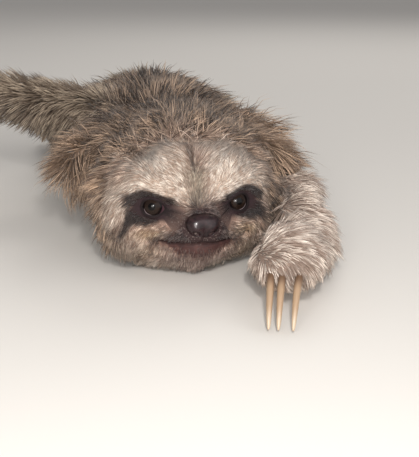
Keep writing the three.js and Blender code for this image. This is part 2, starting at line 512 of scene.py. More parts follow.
class Graph:
    """One material's nodes: a Principled shader and what is worked out before it."""

    def __init__(self, name: str) -> None:
        """Makes the material with its shader and output.

        Args:
            name: The material's name.
        """
        self.material = bpy.data.materials.new(name)
        self.material.use_nodes = True
        self.tree = self.material.node_tree
        self.tree.nodes.clear()
        self.shader = self.node("ShaderNodeBsdfPrincipled")
        output = self.node("ShaderNodeOutputMaterial")
        self.tree.links.new(self.shader.outputs["BSDF"], output.inputs["Surface"])

    def node(
        self,
        kind: str,
        settings: Optional[dict[str, Any]] = None,
        inputs: Optional[dict[Union[str, int], Any]] = None,
    ) -> bpy.types.Node:
        """Adds a node.

        Args:
            kind: The node's type.
            settings: Its own settings, which are set first.
            inputs: Values or links for its sockets, by name or number.

        Returns:
            The new node.
        """
        made = self.tree.nodes.new(kind)
        for key, value in (settings or {}).items():
            setattr(made, key, value)
        for key, value in (inputs or {}).items():
            self.feed(made.inputs[key], value)
        return made

    def feed(self, socket: bpy.types.NodeSocket, value: Any) -> None:
        """Links or sets one input socket.

        Args:
            socket: The input.
            value: A Value, an output socket, or plain numbers.
        """
        if isinstance(value, Value):
            self.tree.links.new(value.socket, socket)
        elif isinstance(value, bpy.types.NodeSocket):
            self.tree.links.new(value, socket)
        else:
            socket.default_value = value

    def math(self, operation: str, *terms: Number, use_clamp: bool = False) -> Value:
        """A Math node on numbers or Values.

        Args:
            operation: The node's operation.
            *terms: Its inputs in order.
            use_clamp: Whether the result is kept from 0 to 1.

        Returns:
            The node's result.
        """
        settings = {"operation": operation, "use_clamp": use_clamp}
        made = self.node("ShaderNodeMath", settings, dict(enumerate(terms)))
        return Value(self, made.outputs[0])

    def stored(self, name: str) -> Value:
        """The number that a piece stores under a name."""
        made = self.node("ShaderNodeAttribute", {"attribute_name": name})
        return Value(self, made.outputs["Fac"])

    def place(self, stretch: tuple[float, float, float] = (1.0, 1.0, 1.0)) -> Any:
        """Object coordinates, stretched along each axis.

        Args:
            stretch: How much each axis is stretched.

        Returns:
            The coordinates' socket.
        """
        where = self.node("ShaderNodeTexCoord").outputs["Object"]
        made = self.node("ShaderNodeMapping", None, {"Vector": where, "Scale": stretch})
        return made.outputs["Vector"]

    def noise(self, size: float, detail: float = 2.0, roughness: float = 0.5, where: Any = None) -> Value:
        """Cloudy noise about 0.5.

        Args:
            size: The usual size of its blots, in metres.
            detail: Its octaves.
            roughness: How strong the fine octaves are.
            where: The coordinates it reads, or Object coordinates.

        Returns:
            Its value.
        """
        made = self.node(
            "ShaderNodeTexNoise",
            {"noise_dimensions": "3D"},
            {
                "Vector": self.place() if where is None else where,
                "Scale": 1.0 / size,
                "Detail": detail,
                "Roughness": roughness,
            },
        )
        return Value(self, made.outputs["Fac"])

    def cells(self, size: float, where: Any = None) -> Value:
        """The distance to the nearest of scattered points, 0 at a point.

        Args:
            size: The distance between the points, in metres.
            where: The coordinates it reads, or Object coordinates.

        Returns:
            The distance, as a Value.
        """
        made = self.node(
            "ShaderNodeTexVoronoi",
            {"feature": "F1"},
            {"Vector": self.place() if where is None else where, "Scale": 1.0 / size},
        )
        return Value(self, made.outputs["Distance"])

    def mapped(self, turn: Value, along: Value) -> bpy.types.NodeSocket:
        """Coordinates that run round an axis and along it, for fibres."""
        parts = {0: turn * FIBRE_TURN, 1: along * FIBRE_RUN, 2: 0.0}
        return self.node("ShaderNodeCombineXYZ", None, parts).outputs[0]

    def mix(self, share: Number, first: Any, second: Any, blend: str = "MIX") -> bpy.types.NodeSocket:
        """A colour between two.

        Args:
            share: How much of the second.
            first: A colour as 0 to 255, or a socket.
            second: The same.
            blend: How they combine.

        Returns:
            The colour's socket.
        """
        made = self.node("ShaderNodeMix", {"data_type": "RGBA", "blend_type": blend})
        self.feed(made.inputs[0], share)
        for socket, value in ((made.inputs[6], first), (made.inputs[7], second)):
            self.feed(socket, linear(value) if isinstance(value, tuple) else value)
        return made.outputs[2]

    def bump(self, height: Value, strength: float, distance: float) -> None:
        """Raises the surface in the light by a height in units of the distance.

        Args:
            height: The height, a Value.
            strength: How much of it shows.
            distance: What a height of 1 is, in metres.
        """
        made = self.node(
            "ShaderNodeBump",
            None,
            {"Height": height, "Strength": strength, "Distance": distance},
        )
        self.feed(self.shader.inputs["Normal"], made.outputs["Normal"])

    def finish(self, colour: Any, roughness: Number, **fixed: float) -> bpy.types.Material:
        """Sets the shader.

        Args:
            colour: A colour as 0 to 255, or a socket.
            roughness: A number or a Value.
            **fixed: Constants for other sockets, with underscores for spaces.

        Returns:
            The finished material.
        """
        self.feed(self.shader.inputs["Base Color"], linear(colour) if isinstance(colour, tuple) else colour)
        self.feed(self.shader.inputs["Roughness"], roughness)
        for key, value in fixed.items():
            self.shader.inputs[key.replace("_", " ")].default_value = value
        return self.material


# ---------------------------------------------------------------- markings


class Mark(Enum):
    """A marking of the coat, under the name that its strength is stored by."""

    # ARM: the pale tone of the right arm and legs, and painted light on the lit side of the left forearm
    # and hand
    ARM = "arm"
    OLIVE = "olive"
    BLOTCH = "blotch"
    RUFF = "ruff"
    FACE = "face"
    CHIN = "chin"
    # PALE: the pale face mask and cheeks, and painted light under the jaw and low on the left hand
    PALE = "pale"
    BRIDGE = "bridge"
    YELLOW = "yellow"
    MUZZLE = "muzzle"
    # STRIPE: the dark eye stripes and brow parting, and painted shade in the hollows round the ears
    STRIPE = "stripe"
    LIP = "lip"
    # painted shade in the slit where the lips meet
    GAPE = "gape"
    LID = "lid"
    RIM = "rim"


@dataclass(frozen=True)
class Tint:
    """How one marking colours the skin, and a tuft at its root and at its tip."""

    skin: Colour
    root: Colour
    tip: Colour


COAT_TINT = Tint(skin=(60, 45, 36), root=(46, 33, 25), tip=(216, 186, 160))
TINTS = {
    # also painted light on the lit side of the left forearm and hand
    Mark.ARM: Tint(skin=(148, 128, 115), root=(150, 130, 117), tip=(254, 241, 228)),
    Mark.OLIVE: Tint(skin=(90, 78, 64), root=(88, 74, 60), tip=(184, 168, 144)),
    Mark.BLOTCH: Tint(skin=(150, 134, 112), root=(150, 132, 108), tip=(224, 212, 190)),
    Mark.RUFF: Tint(skin=(102, 82, 66), root=(98, 78, 62), tip=(226, 194, 166)),
    Mark.FACE: Tint(skin=(160, 132, 118), root=(142, 115, 100), tip=(250, 224, 206)),
    Mark.CHIN: Tint(skin=(150, 126, 115), root=(140, 116, 106), tip=(232, 210, 196)),
    # also painted light under the jaw and low on the left hand
    Mark.PALE: Tint(skin=(208, 186, 168), root=(172, 149, 132), tip=(254, 244, 232)),
    Mark.BRIDGE: Tint(skin=(150, 134, 118), root=(112, 98, 84), tip=(196, 182, 162)),
    Mark.YELLOW: Tint(skin=(158, 132, 92), root=(144, 116, 78), tip=(204, 180, 134)),
    Mark.MUZZLE: Tint(skin=(48, 34, 34), root=(43, 31, 31), tip=(122, 106, 101)),
    # also painted shade in the hollows round the ears
    Mark.STRIPE: Tint(skin=(40, 28, 27), root=(36, 26, 24), tip=(62, 46, 40)),
    Mark.LIP: Tint(skin=(74, 48, 44), root=(68, 47, 42), tip=(122, 98, 90)),
    # painted shade along the mouth's slit
    Mark.GAPE: Tint(skin=(38, 25, 25), root=(40, 27, 27), tip=(62, 46, 44)),
    Mark.LID: Tint(skin=(40, 27, 30), root=(38, 27, 27), tip=(56, 42, 40)),
    Mark.RIM: Tint(skin=(22, 14, 15), root=(30, 21, 21), tip=(44, 32, 31)),
}


BARE_MARKS = (Mark.LIP, Mark.GAPE, Mark.LID, Mark.RIM)


# ---------------------------------------------------------------- head


@dataclass(frozen=True)
class Form:
    """A rise or hollow of the head's coat towards a point of the head, in millimetres."""

    toward: tuple[float, float, float]
    rise: float
    spread: float  # degrees over which it fades
    paired: bool = False


@dataclass(frozen=True)
class Swell:
    """A small rise of the face's skin, seen from the front, in millimetres."""

    x: float
    z: float
    wide: float
    high: float
    rise: float
    paired: bool = False


@dataclass(frozen=True)
class Lids:
    """The opening between an eye's lids, in degrees about the middle of the ball."""

    outer: float = 55.0
    inner: float = 62.0
    upper: float = 38.0
    lower: float = 36.0
    outer_height: float = 2.0
    inner_height: float = -10.0
    peak: float = 0.42  # where it is widest, from the outer corner to the inner
    fullness: float = 0.62
    corners: int = 22
    axis: tuple[float, float, float] = (0.32, -0.93, 0.16)
    over: float = 0.5  # how far the rims stand out from the ball, in millimetres
    behind: float = 1.0  # how far the skin dips behind the ball, in millimetres
    sink: float = 6.0  # degrees over which it does
    crease: float = 17.0  # degrees from a rim to the fold round it
    crease_depth: float = 0.4

    def line(self, a: Array) -> Array:
        """The height of the line between the two corners, at each angle across."""
        share = np.clip((a + self.outer) / (self.outer + self.inner), 0.0, 1.0)
        return self.outer_height + (self.inner_height - self.outer_height) * share

    def rim(self) -> list[tuple[float, float]]:
        """The opening's edge as corners, by the angle across and the angle up.

        Returns:
            The corners in order, without repeats.
        """
        share = np.linspace(0.0, 1.0, self.corners)
        a = -self.outer + (self.outer + self.inner) * share
        power = math.log(0.5) / math.log(self.peak)
        shape = np.sin(math.pi * share**power) ** self.fullness
        above = list(zip(a, self.line(a) + self.upper * shape))
        below = list(zip(a, self.line(a) - self.lower * shape))
        return above[:-1] + below[::-1][:-1]


@dataclass
class Head:
    """The head's axes, its shape, its markings and the lie of its coat, in millimetres."""

    eye_side: float = 16.3
    eye_ahead: float = 22.0
    eye_above: float = 4.5
    eye_radius: float = 5.2
    half_width: float = 39.5
    front: float = 31.0
    back: float = 38.0
    crown: float = 37.0
    chin: float = 29.5
    mouth_shift: float = -2.0
    lids: Lids = Lids()
    forms: tuple[Form, ...] = (
        Form((0, -37, -7), 7.2, 25),
        Form((0, -28, -20), 2.6, 20),
        Form((0, -30, 5), -1.6, 15),
        Form((0, -24, 30), 2.6, 26),
        Form((0, 8, 40), 6.5, 38),
        Form((17, -26, 5), -3.4, 15, True),
        Form((15, -28, 17), 1.6, 17, True),
        Form((24, -24, -9), 1.8, 24, True),
        Form((40, -4, 12), 4.4, 30, True),
        Form((36, 8, -12), 1.0, 30, True),
        Form((37, 7.5, 4.5), -7.5, 12, True),
    )
    swells: tuple[Swell, ...] = (
        Swell(17, 14.5, 9, 3.2, 1.0, True),
        Swell(17, -4.0, 9, 3.5, 0.9, True),
        Swell(8.5, 3.0, 2.6, 5.0, -0.6, True),
        Swell(10.8, 4.4, 3.2, 3.6, -2.0, True),
        Swell(9.6, 3.8, 1.7, 0.8, -0.6, True),
        Swell(24.5, 5.0, 3.5, 5.0, 0.7, True),
        Swell(0, 5.0, 3.4, 6.0, 0.5),
        Swell(0, 1.2, 8.6, 5.0, 1.9),
        Swell(5.0, -4.6, 4.6, 2.1, 0.9, True),
        Swell(0, -5.4, 0.8, 2.0, -0.6),
        Swell(18.5, -6.9, 2.0, 1.8, -0.9, True),
        Swell(-1, -10.9, 9.5, 2.2, 1.1),
        Swell(-1, -15.9, 9.0, 1.6, -0.6),
        Swell(0, -19, 9, 3.5, 0.8),
        Swell(23, -10, 6, 6, 0.8, True),
    )
    stripe: tuple[tuple[float, float], ...] = (
        (27.2, 9.0), (23.6, 11.0), (19.4, 11.6), (15.3, 10.4), (12.5, 9.3), (9.6, 8.7),
        (8.0, 7.4), (8.4, 5.8), (11.6, 2.6), (14.2, 1.0), (16.6, -0.7), (20.2, -1.8),
        (22.4, -1.3), (24.6, -0.6), (26.0, -1.6), (27.2, -3.6), (28.3, -6.4), (29.1, -5.4),
        (28.7, -2.5), (28.0, 0.8), (26.6, 7.2),
    )
    mask: tuple[tuple[float, float], ...] = (
        (3.5, 9.0), (4.2, 15.0), (3.0, 20.0), (4.0, 25.5), (12.5, 24.5), (18.5, 21.5),
        (24.0, 17.0), (28.0, 11.5), (31.5, 6.0), (33.0, 2.0), (33.0, -1.5), (31.2, -2.0),
        (29.5, 1.5), (27.0, 8.0), (20.0, 11.0), (9.0, 7.0),
    )
    parting: float = -1.4  # how far to the side the brow's coat parts
    uneven_seed: int = 31
    centre: Array = field(default_factory=lambda: np.zeros(3))
    turn: float = 0.0

    def __post_init__(self) -> None:
        """Finds the head's centre and turn from where the eyes are."""
        middles = {side: sum(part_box(f"{side}_eye"), Vector()) / 2 for side in ("left", "right")}
        across = middles["left"] - middles["right"]
        self.turn = math.atan2(across.y, across.x)
        between = np.array((middles["left"] + middles["right"]) / 2)
        ahead = np.array([[0.0, -self.eye_ahead, self.eye_above]])
        self.centre = between - (self.to_world(ahead)[0] - self.centre)

    def axes(self) -> Array:
        """The head's three axes as columns."""
        c, s = math.cos(self.turn), math.sin(self.turn)
        return np.array([[c, -s, 0.0], [s, c, 0.0], [0.0, 0.0, 1.0]])

    def to_local(self, places: Array) -> Array:
        """Positions in the part's frame as millimetres in the head's."""
        return (places - self.centre) @ self.axes() / MM

    def to_world(self, local: Array) -> Array:
        """Millimetres in the head's axes as positions in the part's frame."""
        return self.centre + local @ self.axes().T * MM

    def reach(self, directions: Array) -> Array:
        """How far the coat's outline is from the middle of the head.

        Args:
            directions: Unit directions in the head's axes.

        Returns:
            Millimetres for each direction.
        """
        x, y, z = directions.T
        deep = np.where(y < 0, self.front, self.back)
        tall = np.where(z > 0, self.crown, self.chin)
        total = 1.0 / np.sqrt((x / self.half_width) ** 2 + (y / deep) ** 2 + (z / tall) ** 2)
        for form in self.forms:
            for side in (1, -1) if form.paired else (1,):
                aim = unit(np.array(form.toward) * (side, 1, 1))
                away = np.degrees(np.arccos(np.clip(directions @ aim, -1, 1))) / form.spread
                total = total + form.rise * np.exp(-away * away)
        return total

    def face_away(self, local: Array) -> Array:
        """How far from the middle of the face a point is, about 1 at the face's edge."""
        x, y, z = local.T
        return np.hypot(x / 31.0, (z - 1.0) / 24.5) + np.clip((y + 14.0) / 14.0, 0.0, 3.0)

    def shortness(self, local: Array) -> Array:
        """1 on the face, where the coat is short, and 0 on the crown and sides."""
        return 1.0 - smoothstep(0.78, 1.5, self.face_away(local))

    def coat_depth(self, local: Array) -> Array:
        """How deep the coat is over the skin of the head, in millimetres.

        Args:
            local: Points in the head's axes.

        Returns:
            A depth for each point.
        """
        x, _, z = local.T
        short = self.shortness(local)
        deep = 8.5 + 3.0 * smoothstep(5.0, 32.0, z) - 4.0 * smoothstep(-8.0, -22.0, z)
        snout = spot(x, z, (0.0, -4.0), (14.0, 11.0))
        jaw = 4.6 * smoothstep(-14.0, -23.0, z)
        return short * (1.7 - 1.0 * snout + jaw) + (1.0 - short) ** 1.5 * deep

    def mouth_line(self, x: Array) -> Array:
        """How high the closed lips meet at each distance from the middle."""
        return -7.1 - 0.7 * np.sin(math.pi * np.clip(np.abs(x - self.mouth_shift) / 18.0, 0.0, 1.0))

    def face_relief(self, x: Array, y: Array, z: Array) -> Array:
        """How far the face's skin rises over the plain head, in millimetres.

        Args:
            x: How far to the left each point is.
            y: How far back.
            z: How far up.

        Returns:
            A rise for each point.
        """
        total = np.zeros(len(x))
        for swell in self.swells:
            for side in (1, -1) if swell.paired else (1,):
                at = (side * swell.x, swell.z)
                total += swell.rise * spot(x, z, at, (swell.wide, swell.high))
        off = z - self.mouth_line(x)
        ends = 1.0 - smoothstep(13.5, 18.5, np.abs(x - self.mouth_shift))
        slit = -1.3 * ridge(off, 0.0, 0.55) + 0.35 * ridge(off, 1.2, 0.7)
        return (total + slit * ends) * smoothstep(-4.0, -12.0, y)

    def eye_centre(self, side: int) -> Array:
        """The middle of an eyeball."""
        return np.array([side * self.eye_side, -self.eye_ahead, self.eye_above])

    def lid_place(self, local: Array, side: int) -> tuple[Array, Array, Array]:
        """Where points lie about one eye's opening.

        Args:
            local: Points in the head's axes.
            side: 1 for the animal's left eye, -1 for the right.

        Returns:
            The distance from the ball's middle, the degrees inside the opening's edge, and
            whether the upper lid is the nearer one, from 0 to 1.
        """
        lids = self.lids
        offset = local - self.eye_centre(side)
        length = np.linalg.norm(offset, axis=1)
        ray = offset / np.maximum(length, 1e-9)[:, None]
        ahead = unit(np.array(lids.axis) * (side, 1, 1))
        inward = flattened(np.array([-side, 0.0, 0.0]), ahead)
        up = np.cross(inward, ahead) * side
        a = np.degrees(np.arctan2(ray @ inward, ray @ ahead))
        b = np.degrees(np.arcsin(np.clip(ray @ up, -1.0, 1.0)))
        edge = np.full(len(local), -90.0)
        near = length < LID_REACH
        edge[near] = outline_distance(a[near], b[near], lids.rim())
        return length, edge, smoothstep(-8.0, 8.0, b - lids.line(a))

    def with_lids(self, local: Array) -> Array:
        """The face's points moved out over the eyeballs as lids, and in behind the openings.

        Args:
            local: Points in the head's axes.

        Returns:
            The moved points.
        """
        lids = self.lids
        for side in (1, -1):
            middle = self.eye_centre(side)
            length, edge, upper = self.lid_place(local, side)
            rim = self.eye_radius + lids.over
            fold = lids.crease_depth * ridge(edge, -lids.crease, 4.5)
            full = 0.35 * ridge(edge, -8.0, 6.0)
            cover = rim + full - fold * (0.5 + 0.5 * upper)
            outside = np.maximum(length, cover * smoothstep(-55.0, -12.0, edge))
            outside = outside + (cover - outside) * smoothstep(-16.0, -4.0, edge)
            inner = self.eye_radius - lids.behind
            wanted = outside + (inner - outside) * smoothstep(0.0, lids.sink, edge)
            moved = middle + (local - middle) * (wanted / np.maximum(length, 1e-9))[:, None]
            local = np.where((length < LID_REACH)[:, None], moved, local)
        return local

    def skin_surface(self, local: Array) -> Array:
        """Points near the head moved onto its finished skin.

        Args:
            local: Points in the head's axes.

        Returns:
            The same rays' points on the skin.
        """
        rays = unit(local)
        outline = rays * self.reach(rays)[:, None]
        base = rays * (self.reach(rays) - self.coat_depth(outline))[:, None]
        relief = self.face_relief(base[:, 0], base[:, 1], base[:, 2])
        return self.with_lids(base + rays * relief[:, None])

    def stripe_mark(self, local: Array, front: Array, turned: Array) -> Array:
        """The dark stripes through the eyes, and the parting over the brow.

        Args:
            local: Points of the skin in the head's axes.
            front: 1 on the front of the head, 0 behind it.
            turned: 1 but for the far side of the face, where it fades.

        Returns:
            The marking's strength for each point.
        """
        x, y, z = local.T
        made = smoothstep(-1.1, 0.7, outline_distance(np.abs(x), z, self.stripe))
        made *= smoothstep(-5.0, -13.0, y) * turned
        made *= np.where(x > 0.0, smoothstep(8.2, 10.4, x), 1.0)
        line = ridge(x, self.parting, 0.9) * smoothstep(16.0, 20.0, z) * smoothstep(28.0, 24.0, z)
        return np.maximum(made, 0.85 * line * front)

    def pale_mark(self, local: Array, front: Array, turned: Array) -> Array:
        """The pale mask and cheeks, and painted light under the jaw.

        Args:
            local: Points of the skin in the head's axes.
            front: 1 on the front of the head, 0 behind it.
            turned: 1 but for the far side of the face, where it fades.

        Returns:
            The marking's strength for each point.
        """
        x, _, z = local.T
        side = np.abs(x)
        made = smoothstep(-3.5, 2.5, outline_distance(side, z, self.mask)) * front * turned
        # painted light: the underside of the jaw made paler, in place of light bounced up from the floor
        lit_under_jaw = 0.85 * smoothstep(-16.0, -21.0, z) * smoothstep(3.0, 10.0, side)
        cheek = 0.4 * spot(side, z, (24.0, -12.0), (8.0, 5.5))
        return np.maximum(made, np.maximum(lit_under_jaw, cheek) * front)

    def muzzle_mark(self, local: Array, front: Array) -> Array:
        """The dark muzzle round the nose and above the mouth.

        Args:
            local: Points of the skin in the head's axes.
            front: 1 on the front of the head, 0 behind it.

        Returns:
            The marking's strength for each point.
        """
        x, _, z = local.T
        right = 10.2 - 0.9 * np.clip(z, -5.0, 4.5)
        left = 13.4 - 0.3 * np.clip(z, -5.0, 5.0)
        snout = np.hypot((x + 0.4) / np.where(x < 0.0, right, left), (z + 0.2) / 7.6)
        above_mouth = np.hypot((x + 1.5) / 13.5, (z + 5.4) / 3.2)
        return np.maximum(smoothstep(1.32, 0.68, snout), smoothstep(1.3, 0.7, above_mouth)) * front

    def mouth_marks(self, local: Array, front: Array) -> dict[Mark, Array]:
        """The lips, and painted shade along the line where they meet.

        Args:
            local: Points of the skin in the head's axes.
            front: 1 on the front of the head, 0 behind it.

        Returns:
            Both markings' strengths for each point.
        """
        x, _, z = local.T
        uneven = Ripple(2.8, self.uneven_seed, 2).at(local)
        low = -14.2 + 3.4 * ((x + 1.2) / 11.5) ** 2 + 0.9 * uneven[:, 0]
        top = self.mouth_line(x) + 0.7
        ends = smoothstep(18.5, 14.0, np.abs(x - self.mouth_shift))
        lip = smoothstep(low - 2.6, low + 2.6, z) * smoothstep(top + 0.5, top - 0.3, z)
        corner = spot(np.abs(x), z, (13.5, -7.9), (5.0, 2.3))
        part = z - self.mouth_line(x) - 0.1
        part = part / np.where(part > 0.0, 2.4, 1.0) / (1.0 + 0.35 * uneven[:, 1])
        return {
            Mark.LIP: np.maximum(lip * ends, 0.8 * corner) * front,
            # painted shade along the slit between the lips
            Mark.GAPE: 0.85 * ridge(part, 0.0, 1.0) * ends * front,
        }

    def eye_marks(self, local: Array) -> dict[Mark, Array]:
        """The lids and their rims.

        Args:
            local: Points of the skin in the head's axes.

        Returns:
            Both markings' strengths for each point.
        """
        side = np.abs(local[:, 0])
        lid, rim = np.zeros(len(local)), np.zeros(len(local))
        for hand in (1, -1):
            length, edge, _ = self.lid_place(local, hand)
            near = smoothstep(9.5, 8.0, length)
            lid = np.maximum(lid, smoothstep(-15.0, -8.0, edge) * near * smoothstep(8.2, 10.2, side))
            rim = np.maximum(rim, smoothstep(-6.0, -1.5, edge) * near)
        return {Mark.LID: lid, Mark.RIM: rim}

    def marks(self, local: Array) -> dict[Mark, Array]:
        """How strong each marking of the head is.

        Args:
            local: Points of the skin in the head's axes.

        Returns:
            A strength from 0 to 1 for each point, by marking.
        """
        x, y, z = local.T
        side = np.abs(x)
        front = smoothstep(2.0, -8.0, y)
        turned = smoothstep(30.0, 26.5, x)
        glow = spot(side, z, (19.0, -4.6), (7.0, 2.0))
        jaw = spot(side, z, (19.5, -13.0), (4.5, 6.0))
        tan = 0.5 * smoothstep(2.4, 1.7, self.face_away(local)) * smoothstep(4.0, 16.0, z)
        bridge = ridge(x, -1.0, 3.8) * smoothstep(3.0, 8.0, z) * smoothstep(25.0, 17.0, z)
        return {
            Mark.STRIPE: self.stripe_mark(local, front, turned),
            Mark.PALE: self.pale_mark(local, front, turned),
            Mark.BRIDGE: bridge * front,
            Mark.MUZZLE: self.muzzle_mark(local, front),
            Mark.YELLOW: np.clip(0.5 * glow + 0.3 * jaw, 0.0, 1.0) * front,
            Mark.FACE: np.maximum(smoothstep(0.55, 1.0, self.shortness(local)) * turned, tan),
            Mark.CHIN: smoothstep(-9.0, -16.0, z) * smoothstep(20.0, 12.0, side) * front,
            **self.mouth_marks(local, front),
            **self.eye_marks(local),
        }

    def flow(self, local: Array) -> Array:
        """Which way the coat lies on the head, in its own axes, before it follows the skin.

        Args:
            local: Points in the head's axes.

        Returns:
            A unit direction for each point.
        """
        x, y, z = local.T
        away = unit(local - np.array([0.0, -31.0, 3.0]))
        side = np.abs(x)
        short = self.shortness(local)
        hang = 2.4 * smoothstep(0.0, 1.0, (side - 10.0 - 9.0 * short) / (16.0 - 3.0 * short))
        hang = hang + 0.5 * smoothstep(-2.0, -14.0, z)
        away[:, 2] -= hang
        away[:, 1] -= 0.25 * smoothstep(-15.0, -23.0, z)
        part = ridge(x, self.parting, 8.0) * smoothstep(13.0, 19.0, z) * smoothstep(4.0, -8.0, y)
        away[:, 0] += 1.3 * np.tanh((x - self.parting) / 1.5) * part
        away[:, 2] += 0.3 * part
        crown = smoothstep(20.0, 34.0, z)
        away[:, 0] += 0.9 * np.tanh(x / 14.0) * crown
        return unit(away)


# ---------------------------------------------------------------- body


class Zone(Enum):
    """A length of the body whose coat is one kind and one piece."""

    FACE = 0
    CROWN = 1
    RUFF = 2
    NECK = 3
    TRUNK = 4
    LEFT_ARM = 5
    RIGHT_ARM = 6
    LEGS = 7


@dataclass
class Body:
    """The one skin, inside the flesh solids by the depth of the coat."""

    frame: dict[str, Any]
    head: Head
    voxel: float = 1.5 * MM
    swell: float = 0.45 * MM
    steps: int = 6
    elbow_radii: tuple[float, float, float] = (8.5, 8.5, 23.0)
    head_nodes: tuple[str, ...] = ("head", "nose", "left_eye", "right_eye", "left_ear", "right_ear")
    depths: dict[str, float] = field(
        default_factory=lambda: {
            "head": 12.0, "nose": 12.0, "eye": 12.0, "ear": 12.0, "neck": 13.5, "trunk": 12.0,
            "tail": 5.0, "upper_arm": 8.0, "forearm": 6.5, "hand": 3.6, "thigh": 8.0,
            "shin": 6.5, "foot": 3.4,
        }
    )
    limbs: dict[str, tuple[str, ...]] = field(
        default_factory=lambda: {
            "left_arm": ("left_upper_arm", "left_forearm", "left_hand", "left_hand_claw_2"),
            "right_arm": ("right_upper_arm", "right_forearm", "right_hand", "right_hand_claw_2"),
            "left_leg": ("left_thigh", "left_shin", "left_foot", "left_foot_claw_2"),
            "right_leg": ("right_thigh", "right_shin", "right_foot", "right_foot_claw_2"),
        }
    )

    def __post_init__(self) -> None:
        """Indexes the surfaces of the flesh solids by node."""
        self.nodes = [n for n in self.frame["nodes"] if "claw" not in n]
        places, owners = [], []
        for number, name in enumerate(self.nodes):
            mesh = self.frame["nodes"][name].data
            middles = np.empty(len(mesh.polygons) * 3)
            mesh.polygons.foreach_get("center", middles)
            rows = np.concatenate([middles.reshape(-1, 3), points(self.frame["nodes"][name])])
            places.append(rows)
            owners.append(np.full(len(rows), number))
        rows, self.owners = np.concatenate(places), np.concatenate(owners)
        self.tree = KDTree(len(rows))
        for index, row in enumerate(rows):
            self.tree.insert(row, index)
        self.tree.balance()

    def middle(self, node: str) -> Array:
        """The middle of a node's box."""
        low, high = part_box(node)
        return np.array((low + high) / 2)

    def nearest(self, places: Array) -> Array:
        """The number of the node that each place is nearest to."""
        return np.array([self.owners[self.tree.find(row)[1]] for row in places])

    def node_depth(self, number: int) -> float:
        """The depth of coat over one node, in metres."""
        name = self.nodes[number]
        return next(d for key, d in self.depths.items() if name.endswith(key)) * MM

    def sole_share(self, places: Array) -> Array:
        """How much of the coat's depth is left near the floor, from 0.3 there to 1 above."""
        return 0.3 + 0.7 * smoothstep(2.0 * MM, 24.0 * MM, places[:, 2])

    def copies(self, names: Sequence[str], title: str) -> bpy.types.Object:
        """Copies of some CAD nodes, merged and joined.

        Args:
            names: The nodes.
            title: The joined object's name.

        Returns:
            The joined object.
        """
        made = []
        for name in names:
            mesh = self.frame["nodes"][name].data.copy()
            twin = bpy.data.objects.new(f"{title}_{name}", mesh)
            bpy.context.scene.collection.objects.link(twin)
            made.append(twin)
        whole = joined(made, title)
        edit_all(whole, weld)
        return whole

    def flesh(self, names: Sequence[str], title: str) -> bpy.types.Object:
        """What lies under the coat of some nodes.

        Args:
            names: The nodes, whose narrow gaps are closed.
            title: The object's name.

        Returns:
            A closed mesh inside them by the coat's depth.
        """
        whole = self.copies(names, title)
        modify(whole, "DISPLACE", strength=self.swell, mid_level=0.0)
        modify(whole, "REMESH", mode="VOXEL", voxel_size=self.voxel)
        net, places = Net(whole), points(whole)
        depth_of = np.array([self.node_depth(n) for n in range(len(self.nodes))])
        depth = depth_of[self.nearest(places)]
        depth *= self.sole_share(places)
        depth = net.eased(depth, 40)
        for _ in range(self.steps):
            places = places - normals(whole) * (depth / self.steps)[:, None]
            places = net.eased(places, 3, 0.4)
            set_points(whole, places)
        return whole

    def skull(self) -> bpy.types.Object:
        """The head's own skin as a closed ball of finished shape.

        Returns:
            The ball.
        """
        ball = sphere("skull", 128, 96)
        rays = unit(points(ball))
        outline = rays * self.head.reach(rays)[:, None]
        local = rays * (self.head.reach(rays) - self.head.coat_depth(outline))[:, None]
        set_points(ball, self.head.to_world(local))
        return ball

    def elbow(self) -> bpy.types.Object:
        """A rounded bar of flesh that joins the left upper arm to the forearm.

        Returns:
            The bar.
        """
        plug = sphere("elbow", 32, 24)
        upper, lower = self.middle("left_upper_arm"), self.middle("left_forearm")
        ahead = unit(lower - upper)
        aside = unit(np.cross(ahead, np.array([0.0, 0.0, 1.0])))
        axes = np.stack([aside, np.cross(ahead, aside), ahead])
        shape = points(plug) * np.array(self.elbow_radii) * MM
        set_points(plug, (upper + lower) / 2 + shape @ axes)
        return plug

    def face_weight(self, local: Array) -> Array:
        """1 where the skin takes the face's exact shape, 0 away from it.

        Args:
            local: Points in the head's axes.

        Returns:
            A share for each point.
        """
        x, y, z = local.T
        away = np.hypot(x / 36.0, (z - 1.0) / 29.0)
        free = np.abs(np.linalg.norm(local, axis=1) - 31.0) < 9.0
        return smoothstep(1.0, 0.85, away) * smoothstep(-5.0, -11.0, y) * free

    def sculpt(self, skin: bpy.types.Object) -> None:
        """Moves the face's vertices onto its finished surface.

        Args:
            skin: The skin, which it may change.
        """
        places = points(skin)
        local = self.head.to_local(places)
        share = self.face_weight(local)
        chosen = share > 0.0
        target = self.head.to_world(self.head.skin_surface(local[chosen]))
        places[chosen] += share[chosen, None] * (target - places[chosen])
        set_points(skin, places)

    def face_centres(self, skin: bpy.types.Object) -> Array:
        """The middles of the skin's faces in the head's axes.

        Args:
            skin: The skin, which it may change.

        Returns:
            One row a face.
        """
        flat = np.empty(len(skin.data.polygons) * 3)
        skin.data.polygons.foreach_get("center", flat)
        return self.head.to_local(flat.reshape(-1, 3))

    def finer_face(self, skin: bpy.types.Object) -> None:
        """Splits the skin's faces finer towards the muzzle, the mouth and the lids.

        Args:
            skin: The skin, which it may change.
        """
        regions: list[Callable[[Array], Array]] = [
            lambda p: (np.hypot(p[:, 0] / 34, (p[:, 2] - 1) / 27) < 1) & (p[:, 1] < -9),
            lambda p: (np.abs(p[:, 0]) < 27) & (p[:, 2] > -17) & (p[:, 2] < 14) & (p[:, 1] < -13),
            self.fine_region,
            self.rim_region,
        ]
        for region in regions:
            refine(skin, region(self.face_centres(skin)))
            self.sculpt(skin)

